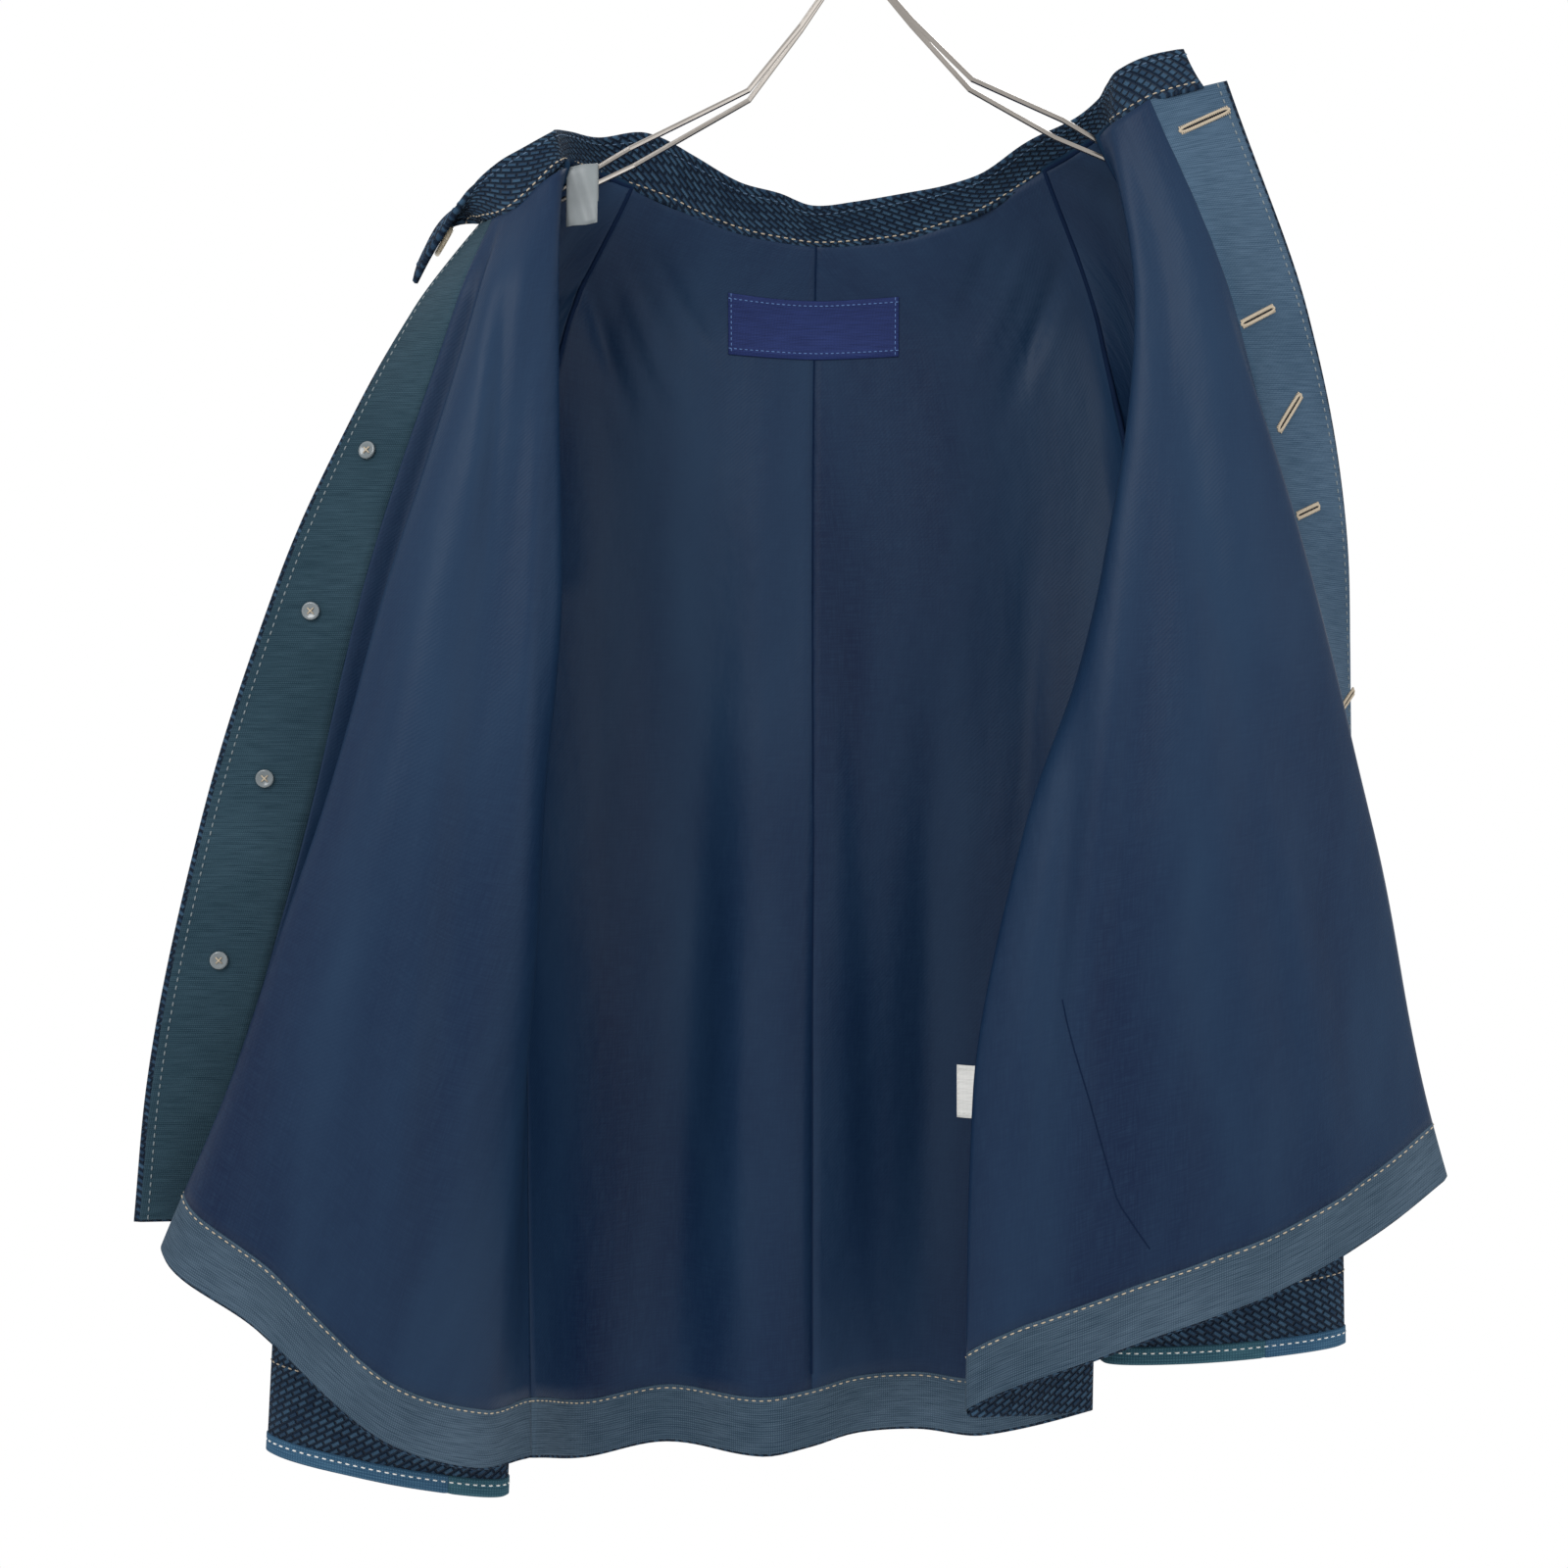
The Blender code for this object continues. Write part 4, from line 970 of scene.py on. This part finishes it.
def stitches(name, lines, finish, length=STITCH_LENGTH, gap=STITCH_GAP, radius=STITCH_RADIUS):
    """Short thread stitches along lines that lie on cloth."""
    points = []
    faces = []
    for line, outs in lines:
        distance = gap
        while True:
            found = along_line(line, distance)
            if found is None:
                break
            spot, way, index = found
            out = outs[index]
            side = way.cross(out).normalized()
            start = len(points)
            points.append((spot - way * length / 2 - out * radius * 0.6) * MM)
            for share, thick in ((-0.33, 0.85), (0.0, 1.0), (0.33, 0.85)):
                for turn in range(STITCH_SIDES):
                    angle = math.tau * turn / STITCH_SIDES
                    across = side * math.cos(angle) + out * math.sin(angle)
                    points.append((
                        spot + way * length * share + across * radius * thick + out * radius * 0.2
                    ) * MM)
            points.append((spot + way * length / 2 - out * radius * 0.6) * MM)
            last = start + 1 + 2 * STITCH_SIDES
            for turn in range(STITCH_SIDES):
                n = (turn + 1) % STITCH_SIDES
                faces.append((start, start + 1 + n, start + 1 + turn))
                for a in (start + 1, start + 1 + STITCH_SIDES):
                    faces.append((a + turn, a + n, a + STITCH_SIDES + n, a + STITCH_SIDES + turn))
                faces.append((last + STITCH_SIDES, last + turn, last + n))
            distance += length + gap
    mesh = smooth_mesh(name, points, faces, turned_out=False)
    return place_piece(bpy.data.objects.new(name, mesh), None, finish)


def cord_piece(name, points, radius, finish):
    """Round piping or thread along the points."""
    data = bpy.data.curves.new(name, "CURVE")
    data.dimensions = "3D"
    data.bevel_depth = radius * MM
    data.bevel_resolution = 3
    data.use_fill_caps = True
    spline = data.splines.new("POLY")
    spline.points.add(len(points) - 1)
    for target, point in zip(spline.points, points):
        target.co = (*(point * MM), 1.0)
    return place_piece(bpy.data.objects.new(name, data), None, finish)


def inset_lines(grid, side, distance, height):
    """Line a distance inside a side edge of a grid, lifted off it, with its outward directions."""
    rows, normals = grid
    line = []
    outs = []
    sign = 1 if height > 0 else -1
    for row, normal in zip(rows, normals):
        run = row if side == "low" else row[::-1]
        outward = normal if side == "low" else normal[::-1]
        spot, _, index = along_line(run, distance)
        line.append(spot + outward[index] * height)
        outs.append(outward[index] * sign)
    return line, outs


def row_line(grid, row, height, columns=(0, None)):
    """A row of a grid lifted off it, with its outward directions."""
    rows, normals = grid
    sign = 1 if height > 0 else -1
    points = rows[row][columns[0]:columns[1]]
    outward = normals[row][columns[0]:columns[1]]
    return [p + n * height for p, n in zip(points, outward)], [n * sign for n in outward]


def topstitching(grids, looks):
    """Stitches beside the front edges and along the hem band."""
    left, back, right = grids
    skin = -(LAYER_GAP + LINING_THICK)
    shell = LAYER_GAP + SHELL_THICK
    edge = EDGE_SHOWS + 4.0
    for name, grid, side in (("left", left, "low"), ("right", right, "high")):
        lines = [inset_lines(grid, side, edge, height) for height in (skin, shell)]
        stitches(f"stitch_front_{name}", lines, looks["slate_thread"])
    row = HEM_ROW + 1
    facing = LEFT_STEPS[0]
    lines = [row_line(left, row, skin, (facing, None)), row_line(back, row, skin),
             row_line(right, row, skin, (0, len(right[0][0]) - RIGHT_STEPS[-1]))]
    stitches("stitch_hem_inside", lines, looks["cream_thread"])
    lines = [row_line(grid, row, shell) for grid in grids]
    stitches("stitch_hem_outside", lines, looks["cream_thread"])


def seam_cords(seam_left, seam_right, grids, looks):
    """Raised seams along the armholes, the centre of the back and the side."""
    for side, seam in (("left", seam_left), ("right", seam_right)):
        cord_piece(f"seam_raglan_{side}", seam + seam[:1], 1.7, looks["satin_seam"])
        centre = sum(seam, Vector()) / len(seam)
        outer = [p + (p - centre).normalized() * 1.2 for p in seam]
        cord_piece(f"seam_raglan_outer_{side}", outer + outer[:1], 1.9, looks["kendo_seam"])
    rows, normals = grids[1]
    line = [row[BACK_CENTRE] - n[BACK_CENTRE] * (LINING_THICK + 0.1) for row, n in zip(rows, normals)][:HEM_ROW]
    cord_piece("seam_back", line, 0.45, looks["satin_seam"])
    rows, normals = grids[2]
    start, end = (locate(rows, *spot) for spot in SIDE_SEAM)
    line = []
    for step in range(SIDE_SEAM_STEPS + 1):
        share = step / SIDE_SEAM_STEPS
        across = start[0] + (end[0] - start[0]) * share
        along = start[1] + (end[1] - start[1]) * share
        point, outward = frame_at(rows, across, along)
        line.append(point - outward * (LAYER_GAP + LINING_THICK))
    cord_piece("seam_side", line, 0.4, looks["satin_seam"])


def project(point):
    """Where a point falls in the photograph's frame."""
    scale = PHOTO_FOCAL / (CAMERA_DISTANCE + point.y)
    middle = PHOTO_SIZE / 2
    return middle + scale * (point.x - CAMERA_X), middle - scale * (point.z - CAMERA_Z)


def locate(rows, px, py):
    """Fractional column and row of a grid that the photograph shows at a place."""
    def off(spot):
        x, y = project(spot)
        return (x - px) ** 2 + (y - py) ** 2
    best = min((off(p), c, r) for r, row in enumerate(rows) for c, p in enumerate(row))
    options = []
    for dc in range(-10, 11):
        for dr in range(-10, 11):
            across = min(max(best[1] + dc / 10, 0), len(rows[0]) - 1)
            along = min(max(best[2] + dr / 10, 0), len(rows) - 1)
            options.append((off(grid_at(rows, across, along)), across, along))
    found = min(options)
    return found[1], found[2]


def buttonhole(name, rows, start, end, looks):
    """A slit with close cream stitches all round it."""
    a = grid_at(rows, *locate(rows, *start))
    b = grid_at(rows, *locate(rows, *end))
    outward = frame_at(rows, *locate(rows, (start[0] + end[0]) / 2, (start[1] + end[1]) / 2))[1]
    way = (b - a).normalized()
    side = way.cross(outward).normalized()
    half = max((b - a).length / 2, LEAST_HALF_HOLE)
    lift = -outward * (LAYER_GAP + LINING_THICK + 0.2)
    centre = (a + b) / 2
    lines = []
    slit = []
    for index in range(HOLE_STEPS + 1):
        angle = math.tau * index / HOLE_STEPS
        lean = math.cos(angle)
        slit.append(
            centre + way * half * math.copysign(abs(lean) ** 0.5, lean) + side * 1.5 * math.sin(angle) + lift
        )
    cord_piece(f"{name}_edge", slit, 0.75, looks["cream_thread"])
    for index in range(HOLE_TEETH):
        share = (index + 0.5) / HOLE_TEETH * 2 - 1
        for sign in (-1, 1):
            root = centre + way * half * share + side * sign * 0.5 + lift
            tip = centre + way * half * share + side * sign * 3.7 + lift
            lines.append(([root, tip], [-outward, -outward]))
    stitches(f"{name}_teeth", lines, looks["cream_thread"], 2.6, 0.9, 0.5)
    # Dark cord along the slit: painted shade in the gap between the slit's cut edges
    ends = [centre - way * half * 0.85 + lift, centre + way * half * 0.85 + lift]
    cord_piece(f"{name}_slit", ends, 0.5, looks["slit"])


def revolve(name, profile, steps, point, axis):
    """A turned piece whose own +Z lies along the given direction."""
    turn = axis.to_track_quat("Z", "Y")
    points = []
    faces = []
    for x, z in profile:
        ring = 1 if x == 0 else steps
        for step in range(ring):
            angle = math.tau * step / steps
            points.append((point + turn @ Vector((x * math.cos(angle), x * math.sin(angle), z))) * MM)
    starts = []
    total = 0
    for x, z in profile:
        starts.append(total)
        total += 1 if x == 0 else steps
    for index in range(len(profile) - 1):
        a = starts[index]
        b = starts[index + 1]
        for step in range(steps):
            n = (step + 1) % steps
            if profile[index][0] == 0:
                faces.append((a, b + step, b + n))
            elif profile[index + 1][0] == 0:
                faces.append((a + step, a + n, b))
            else:
                faces.append((a + step, a + n, b + n, b + step))
    mesh = smooth_mesh(name, points, faces)
    return bpy.data.objects.new(name, mesh)


def button_profile():
    """Half outline of a shanked button, top centre to the end of its shank."""
    top = BUTTON_SHANK + BUTTON_THICK
    rim = BUTTON_RADIUS
    return (
        (0, top - 1.0), (rim * 0.45, top - 0.95), (rim * 0.62, top - 0.7), (rim * 0.72, top - 0.15),
        (rim * 0.8, top), (rim - 0.9, top), (rim - 0.3, top - 0.25), (rim, top - 0.9), (rim, BUTTON_SHANK + 1.0),
        (rim - 0.35, BUTTON_SHANK + 0.35), (rim - 1.1, BUTTON_SHANK), (SHANK_RADIUS, BUTTON_SHANK),
        (SHANK_RADIUS * 0.85, BUTTON_SHANK / 2), (SHANK_RADIUS, 0), (0, 0),
    )


def backing_profile():
    """Half outline of the small dished clear button."""
    top = BACKING_THICK
    rim = BACKING_RADIUS
    return (
        (0, top - 0.5), (rim * 0.55, top - 0.45), (rim * 0.72, top - 0.05), (rim * 0.85, top),
        (rim - 0.15, top - 0.2), (rim, top - 0.6), (rim, 0.3), (rim - 0.3, 0), (0, 0),
    )


def buttons(left, collar_rows, looks):
    """The front buttons, their backing buttons with crossed thread, and the collar's button."""
    clear_out = SHELL_THICK + LAYER_GAP + 2 * SEAM_GAP
    clear_in = LINING_THICK + LAYER_GAP + 2 * SEAM_GAP
    across = LEFT_STEPS[0] / 2
    for number, height in enumerate(BUTTON_HEIGHTS, 1):
        point, outward = frame_at(left, across, row_at_height(left, across, height))
        node = f"button_front_{number}"
        made = revolve("turned_" + node, button_profile(), BUTTON_SIDES, point + outward * clear_out,
                       outward)
        place_piece(made, node, looks["cream"])
        node = f"button_backing_{number}"
        seat = point - outward * clear_in
        made = revolve("turned_" + node, backing_profile(), BACKING_SIDES, seat, -outward)
        place_piece(made, node, looks["clear"])
        turn = (-outward).to_track_quat("Z", "Y")
        top = BACKING_THICK - 0.2
        for index, (x, y) in enumerate(((1, 1), (1, -1))):
            reach = BACKING_RADIUS * 0.3
            ends = [
                Vector((x * reach * end, y * reach * end, top + rise))
                for end, rise in ((1, -0.7), (1, 0), (0, 0.3), (-1, 0), (-1, -0.7))
            ]
            cord_piece(f"thread_{number}_{index}", [seat + turn @ spot for spot in ends], 0.4,
                       looks["cream_thread"])
    point, outward = frame_at(collar_rows, 1.6 * COLLAR_FINE, 1.1 * COLLAR_ROWS / 4)
    seat = point - outward * (COLLAR_THICK / 2 + SEAM_GAP)
    made = revolve("turned_button_collar", button_profile(), BUTTON_SIDES, seat, -outward)
    place_piece(made, "button_collar", looks["cream"])


def patch(node, rows, normals, box, slot, finish, thread):
    """Bare cloth label on the back lining, stitched at its edges."""
    left, right, top, bottom = box
    face = moved(rows, normals, -(LAYER_GAP + LINING_THICK + SEAM_GAP))
    middle = BACK_CENTRE
    along_top = row_at_height(face, middle, top)
    along_bottom = row_at_height(face, middle, bottom)
    sides = []
    steps = 12
    for step in range(steps + 1):
        along = along_top + (along_bottom - along_top) * step / steps
        sides.append((along, column_at(face, along, left), column_at(face, along, right)))
    layers = []
    count = 48
    for raised in (0.0, LABEL_THICK):
        raised_face = moved(face, normals, -raised)
        layers.append([
            [grid_at(raised_face, first + (last - first) * i / count, along) for i in range(count + 1)]
            for along, first, last in sides
        ])
    made = cloth("cloth_" + node, *layers)
    place_piece(made, node, finish, flat_size(layers[0]))
    top_face = layers[1]
    out = Vector((0, -1, 0))
    edges = [top_face[1], top_face[-2], [row[1] for row in top_face], [row[-2] for row in top_face]]
    stitches("stitch_" + node, [(edge, [out] * len(edge)) for edge in edges], thread, 2.2, 1.0, 0.3)


def clip(looks):
    """Frosted pad folded over the front wire, its two flaps hanging."""
    low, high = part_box("hanger_clip")
    left = low[0] / MM
    width = (high[0] - low[0]) / MM + 4.0
    top = high[2] / MM
    bottom = low[2] / MM
    front = low[1] / MM
    path = [
        (front - 1.5, bottom), (front - 0.4, bottom + 9), (front, top - 8), (front + 0.6, top - 2),
        (front + 2.6, top), (front + 4.8, top - 2), (front + 5.4, top - 9), (front + 6.6, top - 20),
    ]
    line = section([Vector((0, y, z)) for y, z in path], [4] * (len(path) - 1))
    rows = []
    for spot in line:
        rows.append([
            Vector((
                left - 2 + width * c / CLIP_STEPS, spot.y + 0.9 * math.sin(c * 0.7 + spot.z * 0.12),
                spot.z + 0.25 * c,
            ))
            for c in range(CLIP_STEPS + 1)
        ])
    normals = surface_normals(rows)
    near, far = (moved(rows, normals, distance) for distance in (-0.4, 0.4))
    place_piece(cloth("folded_clip", near, far), "hanger_clip", looks["frosted"])


def all_looks():
    """Every finish by its short name."""
    return {
        "kendo": kendo_material(),
        "satin": satin_material(),
        # The left facing's colours are darker than the right facing's by painted shade, where the left front's
        # facing turns away into shadow
        "shaded_facing_left": woven_material("shaded_facing_left", (0.007, 0.022, 0.034), (0.028, 0.058, 0.080)),
        "facing_right": woven_material("facing_right", (0.020, 0.046, 0.080), (0.066, 0.112, 0.168)),
        "hem": woven_material("hem_band", (0.015, 0.032, 0.052), (0.062, 0.096, 0.134), 0.0013),
        "blue": woven_material("binding_blue", (0.014, 0.048, 0.096), (0.050, 0.118, 0.190), 0.0016),
        "teal": woven_material("binding_teal", (0.012, 0.046, 0.070), (0.044, 0.112, 0.146), 0.0016),
        "label": woven_material("label", (0.005, 0.011, 0.052), (0.015, 0.028, 0.112), 0.0009, 0.6),
        "care": woven_material("care_label", (0.62, 0.62, 0.60), (0.86, 0.86, 0.84), 0.0008, 0.5),
        "cream_thread": thread_material("cream_thread", (0.26, 0.21, 0.15), (0.50, 0.43, 0.33)),
        "white_thread": thread_material("white_thread", (0.60, 0.60, 0.58), (0.85, 0.85, 0.82)),
        "slate_thread": thread_material("slate_thread", (0.100, 0.130, 0.150), (0.210, 0.240, 0.250)),
        "indigo_thread": thread_material("indigo_thread", (0.030, 0.060, 0.110), (0.090, 0.150, 0.230)),
        "label_thread": thread_material("label_thread", (0.060, 0.120, 0.300), (0.120, 0.220, 0.420)),
        "satin_seam": plain_material("satin_seam",
                                     (0.002, 0.007, 0.024), (0.005, 0.014, 0.040), 0.7, specular=0.05),
        "kendo_seam": plain_material("kendo_seam",
                                     (0.004, 0.012, 0.028), (0.010, 0.028, 0.056), 0.9, specular=0.05),
        # Slit: a near-black cord of painted shade for a buttonhole's gap
        "slit": plain_material("slit", (0.004, 0.006, 0.010), (0.010, 0.014, 0.020), 0.9, specular=0.05),
        "cream": plain_material("button_cream",
                                (0.55, 0.44, 0.28), (0.78, 0.69, 0.52), 0.25, coat=0.5, scale=140.0),
        "clear": plain_material("button_clear", (0.06, 0.08, 0.09), (0.18, 0.20, 0.21), 0.2, coat=0.3),
        "chrome": plain_material("chrome",
                                 (0.24, 0.22, 0.20), (0.42, 0.39, 0.36), 0.2, metallic=1.0, scale=30.0),
        "frosted": plain_material("frosted", (0.14, 0.16, 0.17), (0.28, 0.31, 0.32), 0.4, alpha=0.75),
    }


def studio():
    """Camera at the photograph's angle, soft light, white world and a floor far below the frame."""
    scene = bpy.context.scene
    camera = bpy.data.objects.new("camera", bpy.data.cameras.new("camera"))
    scene.collection.objects.link(camera)
    camera.location = (CAMERA_X * MM, -CAMERA_DISTANCE * MM, CAMERA_Z * MM)
    camera.rotation_euler = (math.pi / 2, 0, 0)
    camera.data.sensor_width = SENSOR
    camera.data.lens = SENSOR * PHOTO_FOCAL / PHOTO_SIZE
    scene.camera = camera
    world = bpy.data.worlds.new("studio")
    scene.world = world
    world.use_nodes = True
    sky = world.node_tree.nodes["Background"]
    sky.inputs["Color"].default_value = (1.0, 1.0, 1.0, 1.0)
    sky.inputs["Strength"].default_value = WORLD_LIGHT
    scene.view_settings.view_transform = "Standard"
    for name, place, size, power in LIGHTS:
        data = bpy.data.lights.new(name, "AREA")
        data.size = size
        data.energy = power
        lamp = bpy.data.objects.new(name, data)
        scene.collection.objects.link(lamp)
        lamp.location = place
        lamp.rotation_euler = (Vector(LIT_SPOT) - Vector(place)).to_track_quat("-Z", "Y").to_euler()
    mesh = bpy.data.meshes.new("floor")
    shape = bmesh.new()
    bmesh.ops.create_circle(shape, cap_ends=True, segments=96, radius=FLOOR_RADIUS)
    shape.to_mesh(mesh)
    shape.free()
    floor = bpy.data.objects.new("floor", mesh)
    floor.location = (0, 0, FLOOR_HEIGHT)
    scene.collection.objects.link(floor)
    floor.data.materials.append(plain_material("floor", (0.82, 0.82, 0.81), (0.86, 0.86, 0.85), 0.8, scale=3.0))


def main():
    """Every piece of the jacket and its hanger, and the studio."""
    looks = all_looks()
    studio()
    plain = body_grids()
    normals = (
        surface_normals(plain[0], high_side=plain[1]),
        surface_normals(plain[1], low_side=plain[0], high_side=plain[2]),
        surface_normals(plain[2], low_side=plain[1]),
    )
    shaped = [ruffled(rows, line, creases) for rows, line, creases in zip(plain, normals, BODY_CREASES)]
    for r in range(UNDERARM_ROW, len(LENGTHWISE)):
        shaped[1][r][0] = shaped[0][r][-1]
        shaped[1][r][-1] = shaped[2][r][0]
    left, back, right = shaped
    grids = (
        (left, surface_normals(left, high_side=back)),
        (back, surface_normals(back, low_side=left, high_side=right)),
        (right, surface_normals(right, low_side=back)),
    )
    body(grids, looks)
    seams = []
    for front, column, other, neck, table, side, span in (
        (left, -1, 0, SLEEVE_NECK_LEFT, SLEEVE_LEFT, "left", (3, 20)),
        (right, 0, -1, SLEEVE_NECK_RIGHT, SLEEVE_RIGHT, "right", (6, 24)),
    ):
        seam = armhole(front, column, back, other, neck)
        coarse = armhole(front, column, back, other, neck, ROW_FINE)
        sleeve(side, seam, coarse, table, side == "right", span, looks)
        seams.append(seam)
    collar_rows = collar(looks)
    topstitching(grids, looks)
    seam_cords(*seams, grids, looks)
    patch("label_patch", *grids[1], LABEL_BOX, "label", looks["label"], looks["label_thread"])
    patch("care_label", *grids[1], CARE_BOX, "care_label", looks["care"], looks["white_thread"])
    facing_rows = [row[-RIGHT_STEPS[-1] - 1:] for row in right]
    for number, (start, end) in enumerate(BUTTONHOLES, 1):
        buttonhole(f"buttonhole_{number}", facing_rows, start, end, looks)
    buttons(left, collar_rows, looks)
    clip(looks)
    for node in ("hanger_frame", "hanger_hook", "hanger_ferrule"):
        for held_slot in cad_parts[node].material_slots:
            held_slot.material = looks["chrome"]


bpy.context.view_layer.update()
garment = bpy.data.collections.new("garment")
bpy.context.scene.collection.children.link(garment)
main()
bpy.context.view_layer.update()
